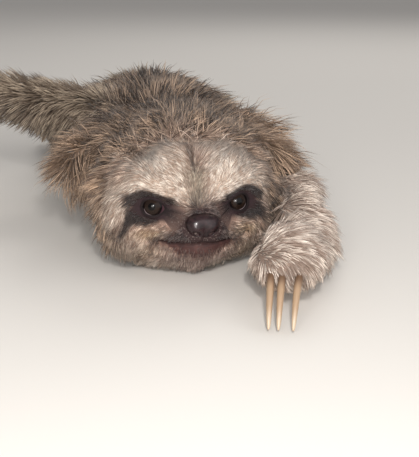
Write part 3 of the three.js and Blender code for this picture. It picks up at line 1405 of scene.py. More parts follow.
    def fine_region(self, local: Array) -> Array:
        """Where the skin is finest but for the rims of the lids: lids and lips.

        Args:
            local: Points in the head's axes.

        Returns:
            One truth value a point.
        """
        x, y, z = local.T
        lips = (np.abs(z - self.head.mouth_line(x)) < 1.8) & (np.abs(x) < 21.0) & (y < -18.0)
        near = [np.linalg.norm(local - self.head.eye_centre(s), axis=1) < 8.5 for s in (1, -1)]
        return lips | ((near[0] | near[1]) & (y < -15.0))

    def rim_region(self, local: Array) -> Array:
        """The rims of the lids, where they turn in to the ball.

        Args:
            local: Points in the head's axes.

        Returns:
            One truth value a point.
        """
        chosen = np.zeros(len(local), bool)
        for side in (1, -1):
            length, edge, _ = self.head.lid_place(local, side)
            chosen |= (edge > -9.0) & (edge < 11.0) & (length < 8.0)
        return chosen

    def build(self) -> bpy.types.Object:
        """Makes the skin, which replaces every flesh node.

        Returns:
            The skin, shaped, unwrapped and in place.
        """
        arm = self.limbs["left_arm"][:3]
        others = [n for n in self.nodes if n not in arm[1:] and "eye" not in n]
        main = self.flesh(others + ["left_eye", "right_eye"], "torso_flesh")
        left = self.flesh(arm[1:], "left_arm_flesh")
        skin = joined([main, left, self.skull(), self.elbow()], "skin")
        modify(skin, "REMESH", mode="VOXEL", voxel_size=self.voxel)
        places = Net(skin).eased(points(skin), 4, 0.5)
        places[:, 2] = np.maximum(places[:, 2], 0.8 * MM)
        set_points(skin, places)
        self.sculpt(skin)
        self.finer_face(skin)
        soften(skin)
        self.unwrap(skin)
        kept = [n for n in self.nodes if not n.endswith(("eye", "ear", "nose"))]
        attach(skin, ROOT_BODY)
        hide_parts(*kept)
        log.info("skin: %d faces", len(skin.data.polygons))
        return skin

    def unwrap(self, skin: bpy.types.Object) -> None:
        """Lays the skin's own shape out flat as its bake map.

        Args:
            skin: The skin, which it may change.
        """
        while skin.data.uv_layers:
            skin.data.uv_layers.remove(skin.data.uv_layers[0])
        skin.data.uv_layers.new(name=BAKE_MAP)
        angle = math.radians(66.0)
        edit_all(skin, lambda: bpy.ops.uv.smart_project(angle_limit=angle, island_margin=0.001))

    def zones(self, places: Array, local: Array, owner: Array) -> Array:
        """The zone of each place, from its nearest node and its place on the head.

        Args:
            places: Positions in the part's frame.
            local: Points in the head's axes.
            owner: The number of the node nearest to each.

        Returns:
            Each one's zone, by its number.
        """
        names = np.array(self.nodes)[owner]
        zone = np.full(len(places), Zone.TRUNK.value)
        is_head = np.isin(names, self.head_nodes)
        zone[is_head] = Zone.RUFF.value
        zone[is_head & (local[:, 2] > 20.0)] = Zone.CROWN.value
        zone[is_head & (self.head.shortness(local) > 0.62)] = Zone.FACE.value
        zone[names == "neck"] = Zone.NECK.value
        for value, key in ((Zone.LEFT_ARM, "left_arm"), (Zone.RIGHT_ARM, "right_arm")):
            zone[np.isin(names, self.limbs[key])] = value.value
        legs = self.limbs["left_leg"] + self.limbs["right_leg"] + ("tail",)
        zone[np.isin(names, legs)] = Zone.LEGS.value
        return zone


# ---------------------------------------------------------------- eyes


@dataclass(frozen=True)
class EyeFinish:
    """A dark eye: a wet ball with a brown iris, a round pupil and a painted wet highlight at the lower
    outer edge of the cornea.
    """

    pupil: Colour = (6, 5, 5)
    iris: Colour = (22, 15, 12)
    iris_light: Colour = (42, 29, 22)
    limbus: Colour = (11, 8, 9)
    corner: Colour = (66, 46, 51)
    # a painted highlight: the pale wet gleam at the lower outer edge of the cornea
    wet_edge: Colour = (150, 134, 136)

    def material(self) -> bpy.types.Material:
        """The ball's material, from the angle off its axis and the turn round it.

        Returns:
            The finished material.
        """
        g = Graph("eye_ball")
        angle, turn = g.stored("angle"), g.stored("turn")
        fibre = g.noise(0.35, 3.0, 0.6, g.mapped(turn, angle))
        colour = g.mix(fibre.rise(0.35, 0.75), self.iris, self.iris_light)
        colour = g.mix(angle.rise(17.0, 14.0), colour, self.pupil)
        colour = g.mix(angle.rise(32.0, 42.0), colour, self.limbus)
        colour = g.mix(angle.rise(44.0, 52.0) * g.stored("inward").rise(0.2, 0.8), colour, self.corner)
        # painted highlight: a pale wet gleam in an arc at the lower outer edge of the cornea
        arc = angle.rise(37.0, 40.0) * angle.rise(44.0, 41.0) * g.stored("arc")
        colour = g.mix(arc * 0.75, colour, self.wet_edge)
        return g.finish(colour, 0.2, Specular_IOR_Level=0.08, Coat_Weight=0.24, Coat_Roughness=0.02)


@dataclass
class Eyes:
    """Both eyeballs, each turned towards where the animal looks."""

    head: Head
    gaze: tuple[float, float, float] = (-0.12, -0.93, 0.22)
    toe: float = 0.24
    finish: EyeFinish = EyeFinish()
    bulge: float = 0.35
    cornea: float = 43.0

    def build(self) -> None:
        """Makes both balls in place of their nodes."""
        material = self.finish.material()
        for side, name in ((1, "left"), (-1, "right")):
            ball = sphere(f"{name}_eye_ball", 64, 48)
            shape = points(ball)
            angle = np.degrees(np.arccos(np.clip(shape[:, 2], -1, 1)))
            turn = np.arctan2(shape[:, 1], shape[:, 0])
            radius = self.head.eye_radius + self.bulge * smoothstep(self.cornea, 0.0, angle)
            ahead = unit(np.array(self.gaze) + np.array([side * self.toe, 0.0, 0.0]))
            across = unit(np.cross(np.array([0.0, 0.0, 1.0]), ahead))
            up = np.cross(ahead, across)
            turned = shape @ np.stack([across, up, ahead]) * radius[:, None]
            set_points(ball, self.head.to_world(turned + self.head.eye_centre(side)))
            set_values(ball, "angle", angle)
            round_it = np.maximum(np.hypot(shape[:, 0], shape[:, 1]), 1e-6)
            inward, above = -side * shape[:, 0] / round_it, shape[:, 1] / round_it
            set_values(ball, "inward", inward)
            # where the painted wet highlight lies on the ball
            set_values(ball, "arc", smoothstep(0.72, 0.97, -0.62 * inward - 0.78 * above))
            set_values(ball, "turn", np.cos(turn * 9.0) * 0.2 + np.sin(turn))
            soften(ball)
            dress(ball, material)
            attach(ball, ROOT_BODY)
            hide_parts(f"{name}_eye")
            log.info("%s_eye_ball: %d faces", name, len(ball.data.polygons))


# ---------------------------------------------------------------- nose


@dataclass(frozen=True)
class NoseFinish:
    """Moist, pebbled, purple-brown nose leather."""

    deep: Colour = (24, 14, 16)
    lit: Colour = (44, 28, 30)
    # painted shade for the nostril hollows
    hollow: Colour = (16, 10, 11)

    def material(self) -> bpy.types.Material:
        """The pad's material, with painted shade in the nostril hollows.

        Returns:
            The finished material.
        """
        g = Graph("nose_leather")
        colour = g.mix(g.noise(1.6 * MM, 3.0).rise(0.3, 0.7), self.deep, self.lit)
        # painted shade: the nostril hollows darkened
        colour = g.mix(g.stored("hollow"), colour, self.hollow)
        pebbles = g.cells(0.42 * MM)
        g.bump(1.0 - pebbles, 0.35, 0.12 * MM)
        rough = 0.42 + 0.2 * g.noise(1.1 * MM, 2.0)
        return g.finish(colour, rough, Specular_IOR_Level=0.12, Coat_Weight=0.5, Coat_Roughness=0.2)


@dataclass
class Nose:
    """The nose pad, with its nostrils and the groove between them."""

    head: Head
    ahead: float = 35.6
    above: float = -0.9
    half_width: float = 6.6
    half_height: float = 5.1
    half_depth: float = 5.0
    taper: float = 0.2
    overhang: float = 0.14  # how far its top leans out over its foot
    nostril_side: float = 3.1
    nostril_below: float = -1.9
    nostril_tilt: float = 32.0  # degrees
    finish: NoseFinish = NoseFinish()

    def build(self) -> None:
        """Makes the pad in place of its node."""
        pad = sphere("nose_pad", 96, 72)
        shape = points(pad)[:, [0, 2, 1]] * (1, -1, 1)
        shape = np.sign(shape) * np.abs(shape) ** 0.92
        x = shape[:, 0] * (1 + self.taper * shape[:, 2]) * self.half_width
        z = shape[:, 2] * self.half_height
        y = shape[:, 1] * self.half_depth * (1.0 - 0.16 * ridge(shape[:, 0], 0.0, 0.5))
        y = y - self.overhang * z * smoothstep(2.0, -2.0, y)
        front = smoothstep(0.5, -1.5, y)
        hollow = np.zeros(len(x))
        for side in (1, -1):
            dx, dz = x - side * self.nostril_side, z - self.nostril_below
            tilt = math.radians(self.nostril_tilt) * side
            u = dx * math.cos(tilt) + dz * math.sin(tilt)
            v = -dx * math.sin(tilt) + dz * math.cos(tilt)
            hollow = np.maximum(hollow, spot(u, v, (0.0, 0.0), (1.75, 0.95)))
        wing = spot(np.abs(x), z, (3.4, -0.1), (2.6, 1.7))
        groove = ridge(x, 0.0, 0.42) * smoothstep(0.6, -1.4, z)
        y = y + front * (2.6 * smoothstep(0.25, 0.9, hollow) - 0.5 * wing + 0.5 * groove)
        local = np.stack([x, y - self.ahead, z + self.above], axis=1)
        set_points(pad, self.head.to_world(local))
        edit_all(pad, lambda: bpy.ops.mesh.normals_make_consistent(inside=False))
        # the nostril hollows' mask, which the leather darkens as painted shade
        set_values(pad, "hollow", smoothstep(0.3, 0.85, hollow) * front)
        soften(pad)
        dress(pad, self.finish.material())
        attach(pad, ROOT_BODY)
        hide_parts("nose")
        log.info("nose_pad: %d faces", len(pad.data.polygons))


# ---------------------------------------------------------------- ears


@dataclass(frozen=True)
class EarFinish:
    """Thin brown-grey ear skin, with painted shade in the cup and darker blotches at random."""

    rim: Colour = (116, 92, 80)
    # painted shade for the cup, also used for random darker blotches
    cup: Colour = (52, 38, 34)

    def material(self) -> bpy.types.Material:
        """The flap's material.

        Returns:
            The finished material.
        """
        g = Graph("ear_flap_skin")
        # painted shade: the cup darkened; below, the same colour mixed in at random as blotches
        colour = g.mix(g.stored("cup"), self.rim, self.cup)
        colour = g.mix(g.noise(1.5 * MM, 3.0) * 0.5, colour, self.cup)
        g.bump(g.noise(0.5 * MM, 3.0), 0.4, 0.2 * MM)
        return g.finish(colour, 0.62, Specular_IOR_Level=0.35)


@dataclass
class Ears:
    """Two small cupped flaps, set in the hollows of the ruff."""

    head: Head
    side: float = 36.5
    behind: float = 7.0
    above: float = 5.0
    half_depth: float = 5.8
    half_height: float = 6.7
    half_thickness: float = 1.9
    flare: float = 24.0
    finish: EarFinish = EarFinish()

    def build(self) -> None:
        """Makes both flaps in place of their nodes."""
        material = self.finish.material()
        for side, name in ((1, "left"), (-1, "right")):
            flap = sphere(f"{name}_ear_flap", 48, 36)
            shape = points(flap)
            out = np.hypot(shape[:, 1], shape[:, 2])
            cup = smoothstep(0.85, 0.35, out) * (shape[:, 0] * side > 0)
            x = shape[:, 0] * self.half_thickness - side * 1.9 * cup * (1.0 - 0.4 * out)
            y = shape[:, 1] * self.half_depth
            z = shape[:, 2] * self.half_height
            turn = math.radians(-side * self.flare)
            local = np.stack(
                [
                    x * math.cos(turn) - y * math.sin(turn) + side * self.side,
                    x * math.sin(turn) + y * math.cos(turn) + self.behind,
                    z + self.above,
                ],
                axis=1,
            )
            set_points(flap, self.head.to_world(local))
            # the cup's mask, which the ear's material darkens as painted shade
            set_values(flap, "cup", cup)
            soften(flap)
            dress(flap, material)
            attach(flap, ROOT_BODY)
            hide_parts(f"{name}_ear")
            log.info("%s_ear_flap: %d faces", name, len(flap.data.polygons))


# ---------------------------------------------------------------- claws


@dataclass(frozen=True)
class HornFinish:
    """Tan claw horn, browner at the root, with fine darker lengthwise lines."""

    middle: Colour = (158, 132, 106)
    root: Colour = (104, 78, 58)
    tip: Colour = (184, 164, 140)

    def material(self) -> bpy.types.Material:
        """The claws' material, from how far along a claw a point is.

        Returns:
            The finished material.
        """
        g = Graph("claw_horn_lined")
        along, round_it = g.stored("along"), g.stored("across")
        lines = g.noise(0.16, 3.0, 0.6, g.mapped(round_it, along))
        colour = g.mix(along.rise(0.35, 0.62), self.root, self.middle)
        colour = g.mix(along.rise(0.8, 1.0), colour, self.tip)
        colour = g.mix(lines.rise(0.45, 0.75) * 0.4, colour, self.root)
        g.bump(lines, 0.25, 0.1 * MM)
        rough = 0.34 + 0.2 * lines
        return g.finish(colour, rough, Specular_IOR_Level=0.5, Coat_Weight=0.2, Coat_Roughness=0.2)


@dataclass
class Claws:
    """The twelve claws, each a smooth, keeled copy of its solid."""

    frame: dict[str, Any]
    finish: HornFinish = HornFinish()
    levels: int = 2

    def build(self) -> None:
        """Makes each claw in place of its node."""
        material = self.finish.material()
        names = sorted(n for n in self.frame["nodes"] if "claw" in n)
        for name in names:
            claw = bpy.data.objects.new(f"{name}_horn", self.frame["nodes"][name].data.copy())
            bpy.context.scene.collection.objects.link(claw)
            edit_all(claw, weld, bpy.ops.mesh.tris_convert_to_quads)
            modify(claw, "SUBSURF", levels=self.levels, render_levels=self.levels)
            self.shade(claw, name)
            soften(claw)
            dress(claw, material)
            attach(claw, ROOT_BODY)
            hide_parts(name)
        log.info("claws: %d", len(names))

    def shade(self, claw: bpy.types.Object, name: str) -> None:
        """Stores how far along and how far across the claw each point is.

        Args:
            claw: The claw.
            name: The claw's node.
        """
        places = points(claw)
        middle = places.mean(axis=0)
        limb = name[: name.index("_claw")]
        low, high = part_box(limb)
        root = np.array((low + high) / 2)
        heading = unit(middle[:2] - root[:2])
        along = places[:, :2] @ heading
        along = (along - along.min()) / (along.max() - along.min())
        aside = np.array([-heading[1], heading[0]])
        across = (places[:, :2] - middle[:2]) @ aside / MM
        set_values(claw, "along", along)
        set_values(claw, "across", across * 0.25)


# ---------------------------------------------------------------- coat


@dataclass(frozen=True)
class Hair:
    """How one zone's tufts are: how many, how long and wide, and how they stand, in mm and degrees."""

    zone: Zone
    name: str
    slot: str
    tufts: int
    rings: int
    length: float
    width: float
    lift: float
    clump: float = 0.45
    lock: int = 10  # tufts drawn to one tip
    wander: float = 0.28
    curl: float = 0.12
    cap: float = 0.85  # how high the tips stand, as a share of the coat's depth
    stray: float = 0.0  # the share of tufts that stand out from the rest
    # a negative value darkens the hair; on the neck it is painted shade on the back, away from the lamps
    pale: float = 0.0  # how much paler than its markings this hair is


HAIRS = (
    Hair(
        Zone.FACE, "coat_face", "face_coat", tufts=19500, rings=2, length=9.0, width=0.25, lift=34,
        clump=0.25, lock=6, wander=0.22, curl=0.05, cap=0.8, pale=0.06,
    ),
    Hair(
        Zone.CROWN, "coat_crown", "face_coat", tufts=12400, rings=3, length=13.0, width=0.32, lift=40,
        clump=0.6, lock=9, wander=0.8, curl=0.2, stray=0.03,
    ),
    Hair(
        Zone.RUFF, "coat_ruff", "face_coat", tufts=12400, rings=3, length=11.0, width=0.31, lift=30,
        clump=0.5, wander=0.34, stray=0.01, pale=-0.06,
    ),
    Hair(
        Zone.NECK, "coat_neck", "coat", tufts=12400, rings=3, length=17.0, width=0.32, lift=34,
        # pale=-0.12: the neck's coat darkened as painted shade, away from the lamps
        clump=0.5, wander=0.42, curl=0.14, cap=0.7, stray=0.05, pale=-0.12,
    ),
    Hair(
        Zone.TRUNK, "coat_trunk", "coat", tufts=12400, rings=3, length=20.0, width=0.56, lift=34,
        clump=0.5, lock=9, wander=0.3, cap=0.8, stray=0.04,
    ),
    Hair(
        Zone.LEFT_ARM, "coat_left_arm", "arm_coat", tufts=12400, rings=3, length=10.0, width=0.34,
        lift=24, clump=0.4, lock=8, wander=0.2, curl=0.1,
    ),
    Hair(
        Zone.RIGHT_ARM, "coat_right_arm", "arm_coat", tufts=10000, rings=3, length=12.0, width=0.44,
        lift=40, lock=8, cap=1.0,
    ),
    Hair(
        Zone.LEGS, "coat_legs", "arm_coat", tufts=11000, rings=3, length=13.0, width=0.5, lift=32,
        lock=8,
    ),
)


@dataclass(frozen=True)
class CoatFinish:
    """Hair: dark at the root and paler to the tip, each tuft its own shade, by its markings."""

    def material(self) -> bpy.types.Material:
        """The tufts' material.

        Returns:
            The finished material.
        """
        g = Graph("sloth_hair")
        along, shade = g.stored("along"), g.stored("shade")
        root: Any = COAT_TINT.root
        tip: Any = COAT_TINT.tip
        for mark, tint in TINTS.items():
            strength = g.stored(mark.value)
            root = g.mix(strength, root, tint.root)
            tip = g.mix(strength, tip, tint.tip)
        streak = g.noise(5.0 * MM, 2.0)
        ruff = g.stored(Mark.RUFF.value)
        share = (along * 0.65 + shade * 1.3 + streak * 0.5 + ruff * 0.16 - 1.08).clamped()
        colour = g.mix(share, root, tip)
        return g.finish(
            colour,
            0.62,
            Specular_IOR_Level=0.28,
            Sheen_Weight=0.12,
            Sheen_Roughness=0.4,
        )


@dataclass(frozen=True)
class SkinFinish:
    """Skin under the coat, with the same markings, pored and speckled on the muzzle and lips."""

    pore: Colour = (30, 20, 18)
    patch: Colour = (196, 168, 148)
    speck: Colour = (150, 136, 128)
    lip_blotch: Colour = (48, 31, 30)

    def material(self) -> bpy.types.Material:
        """The skin's material.

        Returns:
            The finished material.
        """
        g = Graph("sloth_skin")
        colour: Any = COAT_TINT.skin
        strengths = {mark: g.stored(mark.value) for mark in TINTS}
        for mark, tint in TINTS.items():
            colour = g.mix(strengths[mark], colour, tint.skin)
        fine = g.noise(0.5 * MM, 3.0, 0.6)
        broad = g.noise(4.0 * MM, 2.0)
        colour = g.mix(fine.rise(0.35, 0.7) * 0.35, colour, self.pore)
        bare = strengths[Mark.LID] + strengths[Mark.STRIPE] + strengths[Mark.LIP] + strengths[Mark.MUZZLE]
        furred = (1.0 - bare).clamped()
        colour = g.mix(broad.rise(0.45, 0.75) * 0.25 * furred, colour, self.patch)
        speckle = fine.rise(0.56, 0.66) * strengths[Mark.MUZZLE] * 0.45
        colour = g.mix(speckle, colour, self.speck)
        blotches = g.noise(2.6 * MM, 3.0, 0.6).rise(0.4, 0.62) * strengths[Mark.LIP] * 0.55
        colour = g.mix(blotches, colour, self.lip_blotch)
        roughness = 0.78 - 0.2 * (strengths[Mark.LIP] * 0.7) + 0.08 * fine
        g.bump(fine + g.cells(0.7 * MM) * 0.6, 0.4, 0.22 * MM)
        return g.finish(colour, roughness, Specular_IOR_Level=0.22)


@dataclass
class Lie:
    """What each vertex of the skin tells the coat."""

    normal: Array
    flow: Array
    depth: Array
    zone: Array
    marks: dict[Mark, Array]
    density: Array


@dataclass
class Sites:
    """The skin's vertices as the survey of the coat sees them."""

    places: Array
    normal: Array
    local: Array
    owner: Array
    names: Array
    zone: Array
    net: Net

    @property
    def is_head(self) -> Array:
        """True where the nearest node is one of the head's."""
        return self.zone <= Zone.RUFF.value


class SkinMesh:
    """The skin's triangles: their corners, places, areas and places on the bake map."""

    def __init__(self, skin: bpy.types.Object) -> None:
        """Reads the finished skin.

        Args:
            skin: The skin, already unwrapped.
        """
        mesh = skin.data
        mesh.calc_loop_triangles()
        count = len(mesh.loop_triangles)
        corners = np.empty(count * 3, np.int32)
        mesh.loop_triangles.foreach_get("vertices", corners)
        loops = np.empty(count * 3, np.int32)
        mesh.loop_triangles.foreach_get("loops", loops)
        flat = np.empty(len(mesh.loops) * 2, np.float32)
        mesh.uv_layers[BAKE_MAP].data.foreach_get("uv", flat)
        self.corners, self.places = corners.reshape(-1, 3), points(skin)
        self.map = flat.reshape(-1, 2)[loops].reshape(-1, 3, 2)
        a, b, c = (self.places[self.corners[:, k]] for k in range(3))
        self.area = np.linalg.norm(np.cross(b - a, c - a), axis=1) / 2


@dataclass
class Coat:
    """The coat: closed tapered tufts in one piece a zone, and the markings under them."""

    body: Body
    skin: bpy.types.Object
    seed: int = 11
    blotch_seed: int = 5
    floor: float = 0.35 * MM
    half_girth: float = 0.04
    head_reach: float = 45.0  # millimetres from the head's centre that its markings go

    def sites(self) -> Sites:
        """Finds each skin vertex's node, zone and place on the head.

        Returns:
            The vertices, ready for the survey.
        """
        places = points(self.skin)
        local, owner = self.body.head.to_local(places), self.body.nearest(places)
        names = np.array(self.body.nodes)[owner]
        zone = self.body.zones(places, local, owner)
        return Sites(places, normals(self.skin), local, owner, names, zone, Net(self.skin))

    def survey(self) -> Lie:
        """Works out the lie, depth, zone and markings of the coat at each skin vertex.

        Returns:
            The coat's lie at each vertex.
        """
        sites, head = self.sites(), self.body.head
        flow = self.body_flow(sites)
        flow[sites.is_head] = head.flow(sites.local[sites.is_head]) @ head.axes().T
        flow = flattened(sites.net.eased(flow, 8), sites.normal)
        depth = self.depth(sites)
        marks = self.marks(sites, flow, depth)
        return Lie(sites.normal, flow, depth, sites.zone, marks, self.density(sites, marks))

    def depth(self, sites: Sites) -> Array:
        """How deep the coat is over each vertex, in metres.

        Args:
            sites: The skin's vertices.

        Returns:
            A depth for each vertex.
        """
        body, is_head = self.body, sites.is_head
        made = np.array([body.node_depth(n) for n in range(len(body.nodes))])[sites.owner]
        made *= body.sole_share(sites.places)
        made[is_head] = body.head.coat_depth(sites.local[is_head] * COAT_OUT) * MM
        return sites.net.eased(made, 12)

    def marks(self, sites: Sites, flow: Array, depth: Array) -> dict[Mark, Array]:
        """The strength of every marking, which furred ones read ahead of the root.

        Args:
            sites: The skin's vertices.
            flow: The lie of the coat at each.
            depth: Its depth at each.

        Returns:
            A strength from 0 to 1 for each vertex, by marking.
        """
        head = self.body.head
        made = {mark: np.zeros(len(sites.places)) for mark in Mark}
        lead = depth / MM * (0.3 + 0.8 * smoothstep(2.0 * MM, 6.0 * MM, depth))
        seen = sites.local + (flow @ head.axes()) * lead[:, None]
        furred, bare = head.marks(seen), head.marks(sites.local)
        near = np.linalg.norm(sites.local, axis=1) < self.head_reach
        for mark in furred:
            values = bare[mark] if mark in BARE_MARKS else furred[mark]
            made[mark] = values * near * sites.is_head
        self.mark_ruff(sites, made)
        self.mark_body(sites, made)
        return made

    def mark_ruff(self, sites: Sites, marks: dict[Mark, Array]) -> None:
        """Marks the ruff beside the face, and painted shade in the hollow round the ear, in the stripe's
        dark colour.

        Args:
            sites: The skin's vertices.
            marks: The markings so far, which it adds to.
        """
        x, y, z = sites.local.T
        side = np.abs(x)
        is_ruff = np.isin(sites.zone, (Zone.RUFF.value, Zone.NECK.value))
        beside = is_ruff * smoothstep(24.0, 34.0, side)
        marks[Mark.RUFF] = sites.net.eased(beside * smoothstep(32.0, 22.0, z), 10)
        # painted shade: the hollow behind the cheek and round the ear, darkened with the stripe's colour
        hollow = smoothstep(-9.0, -3.0, y) * smoothstep(18.0, 12.0, y)
        hollow *= smoothstep(-20.0, -13.0, z) * smoothstep(8.0, 2.0, z)
        hollow *= (side > 28.0) * np.isin(sites.names, self.body.head_nodes + ("neck",))
        marks[Mark.STRIPE] = np.maximum(marks[Mark.STRIPE], 0.75 * hollow)

    def mark_body(self, sites: Sites, marks: dict[Mark, Array]) -> None:
        """Marks the limbs, the hanging hand and the blotches of the back, with painted light on the side of
        the left forearm and hand that faces the lamps, painted shade under them, and painted light on the
        hand near the floor.

        Args:
            sites: The skin's vertices.
            marks: The markings so far, which it adds to.
        """
        names, net, limbs = sites.names, sites.net, self.body.limbs
        left, right = np.isin(names, limbs["left_arm"]), np.isin(names, limbs["right_arm"])
        legs = np.isin(names, limbs["left_leg"] + limbs["right_leg"])
        # painted light: on the left forearm and hand the pale arm colour follows the normal, on the side
        # facing up and towards the lamps; the undersides keep the dark coat colour as painted shade
        toward_lamps = sites.normal[:, 2] - 0.6 * sites.normal[:, 1]
        lit_side = left * (names != "left_upper_arm") * smoothstep(-0.3, 0.5, toward_lamps)
        marks[Mark.ARM] = net.eased((lit_side + 0.45 * right + 0.4 * legs).astype(float), 24)
        marks[Mark.OLIVE] = net.eased((0.75 * right + 0.4 * legs).astype(float), 24)
        # painted light: the left hand and forearm made paler close to the floor, over the shade on their
        # lower side
        low = smoothstep(18.0 * MM, 7.0 * MM, sites.places[:, 2])
        lit_low_hand = np.isin(names, ("left_hand", "left_forearm")) * low
        marks[Mark.PALE] = np.maximum(marks[Mark.PALE], 0.8 * lit_low_hand)
        patches = Ripple(38.0 * MM, self.blotch_seed).at(sites.places)[:, 0]
        marks[Mark.BLOTCH] = smoothstep(0.7, 1.3, patches) * (names == "trunk") * 0.8
        marks[Mark.BLOTCH] = net.eased(marks[Mark.BLOTCH], 4)

    def density(self, sites: Sites, marks: dict[Mark, Array]) -> Array:
        """How thickly the tufts stand.

        Args:
            sites: The skin's vertices.
            marks: The finished markings.

        Returns:
            A share for each vertex: 0 on the lids, in the mouth and under the nose pad.
        """
        head, is_head = self.body.head, sites.is_head
        x, y, z = sites.local.T
        bare = np.maximum(marks[Mark.LID], 0.82 * smoothstep(0.5, 1.0, marks[Mark.LIP]))
        mouth = np.abs(z - 0.4 - head.mouth_line(x)) < 1.5
        mouth &= (np.abs(x - head.mouth_shift) < 13.5) & (y < -15.0) & is_head
        bare = np.maximum(bare, mouth)
        pad = np.hypot(x / 7.4, (z + 1.0) / 5.4) < 1.0
        made = (1.0 - bare) * ~(pad & (y < -28.0) & is_head)
        made *= 1.0 + 0.5 * marks[Mark.MUZZLE] * (1.0 - marks[Mark.GAPE])
        brow = ridge(head.shortness(sites.local), 0.72, 0.16) * smoothstep(10.0, 16.0, z)
        made *= 1.0 + 1.2 * brow * is_head
        ear = spot(y, z, (4.0, 3.0), (4.0, 5.0))
        made *= 1.0 - 0.9 * ear * is_head * (np.abs(x) > 22.0)
        under = smoothstep(-0.75 - 0.22 * is_head, -0.2 - 0.3 * is_head, sites.normal[:, 2])
        made *= 0.25 + 0.75 * under
        return made

    def body_flow(self, sites: Sites) -> Array:
        """Which way the coat lies behind the head: back and down on the body, along the limbs.

        Args:
            sites: The skin's vertices.

        Returns:
            A direction for each, before it follows the skin.
        """
        body, places, names = self.body, sites.places, sites.names
        tail, neck = body.middle("tail"), body.middle("neck")
        spine = neck[None, :2] + (tail - neck)[None, :2] * np.clip(
            (places[:, 1:2] - neck[1]) / (tail[1] - neck[1]), -0.5, 1.0
        )
        aside = (places[:, 0] - spine[:, 0]) / self.half_girth
        flow = np.stack([0.9 * aside, np.full(len(places), 0.55), -0.75 * np.abs(aside)], axis=1)
        ruff = names == "neck"
        flow[ruff] = np.stack(
            [0.3 * aside[ruff], np.full(ruff.sum(), 0.15), -1.5 * np.abs(aside[ruff])], axis=1
        )
        for chain in body.limbs.values():
            stops = [body.middle(n) for n in chain]
            for index, name in enumerate(chain[:3]):
                chosen = names == name
                ahead = unit(stops[index + 1] - stops[index])
                axis = stops[index]
                off = places[chosen] - axis
                out = unit(off - dot(off, ahead)[:, None] * ahead)
                flow[chosen] = 0.8 * ahead + 0.35 * out + np.array([0.0, 0.0, -0.7])
        flow[names == "tail"] = (0.0, 1.0, -0.3)
        low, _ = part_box("left_hand")
        around = np.array([low.x - 2.0 * MM, 0.0, low.z + 2.0 * MM])
        turned = np.isin(names, body.limbs["left_arm"][1:])
        off = unit((places[turned] - around) * (1.0, 0.0, 1.0))
        forward = np.full(turned.sum(), -0.25)
        flow[turned] = np.stack([off[:, 2], forward, -np.abs(off[:, 0]) - 0.15], axis=1)
        return sites.net.eased(flow, 20)

    def mark_skin(self, lie: Lie) -> None:
        """Stores the markings on the skin and dresses it.

        Args:
            lie: The survey of the skin.
        """
        for mark, values in lie.marks.items():
            set_values(self.skin, mark.value, values)
        dress(self.skin, SkinFinish().material())

    def build(self) -> None:
        """Makes every coat piece."""
        lie = self.survey()
        self.mark_skin(lie)
        material = CoatFinish().material()
        ground = SkinMesh(self.skin)
        for number, hair in enumerate(HAIRS):
            self.piece(hair, lie, ground, material, np.random.default_rng(self.seed + number))

    def roots(
        self, hair: Hair, lie: Lie, ground: SkinMesh, rng: np.random.Generator
    ) -> tuple[Array, Array]:
        """Where a zone's tufts stand.

        Args:
            hair: The zone's hair.
            lie: The survey of the skin.
            ground: The skin's triangles.
            rng: The random draws.

        Returns:
            The triangle of each root, and its weights for that triangle's corners.
        """
        in_zone = lie.zone[ground.corners[:, 0]] == hair.zone.value
        weight = ground.area * lie.density[ground.corners].min(axis=1) * in_zone
        total = np.cumsum(weight)
        stops = (np.arange(hair.tufts) + rng.random(hair.tufts)) / hair.tufts * total[-1]
        triangle = np.minimum(np.searchsorted(total, stops), len(total) - 1)
        first, second = rng.random(hair.tufts), rng.random(hair.tufts)
        root = np.sqrt(first)
        shares = np.stack([1 - root, root * (1 - second), root * second], axis=1)
        return triangle, shares

    def piece(
        self,
        hair: Hair,
        lie: Lie,
        ground: SkinMesh,
        material: bpy.types.Material,
        rng: np.random.Generator,
    ) -> None:
        """Makes one zone's tufts as one mesh.

        Args:
            hair: The zone's hair.
            lie: The survey of the skin.
            ground: The skin's triangles.
            material: The coat's material.
            rng: The random draws.
        """
        triangle, shares = self.roots(hair, lie, ground, rng)
        corner = ground.corners[triangle]

        def drawn(values: Array) -> Array:
            """Values of the skin's vertices, drawn at the roots."""
            spread = shares[..., None] if values.ndim > 1 else shares
            return (values[corner] * spread).sum(axis=1)

        base, normal = drawn(ground.places), unit(drawn(lie.normal))
        lines, leader = self.lines(hair, base, normal, drawn(lie.flow), drawn(lie.depth), rng)
        map_root = (ground.map[triangle] * shares[..., None]).sum(axis=1)
        width = hair.width * MM * rng.uniform(0.7, 1.25, hair.tufts)
        obj = self.tuft_mesh(hair, lines, normal, width, map_root)
        per_tuft = 3 * hair.rings + 1
        shade = rng.normal(0.5, 0.17, hair.tufts) + rng.normal(0.0, 0.2, hair.tufts)[leader]
        shade = np.clip(shade + hair.pale, 0.0, 1.0)
        set_values(obj, "shade", np.repeat(shade, per_tuft))
        for mark, values in lie.marks.items():
            set_values(obj, mark.value, np.repeat(drawn(values), per_tuft))
        dress(obj, material)
        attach(obj, ROOT_BODY)
        log.info("%s: %d tufts", hair.name, hair.tufts)

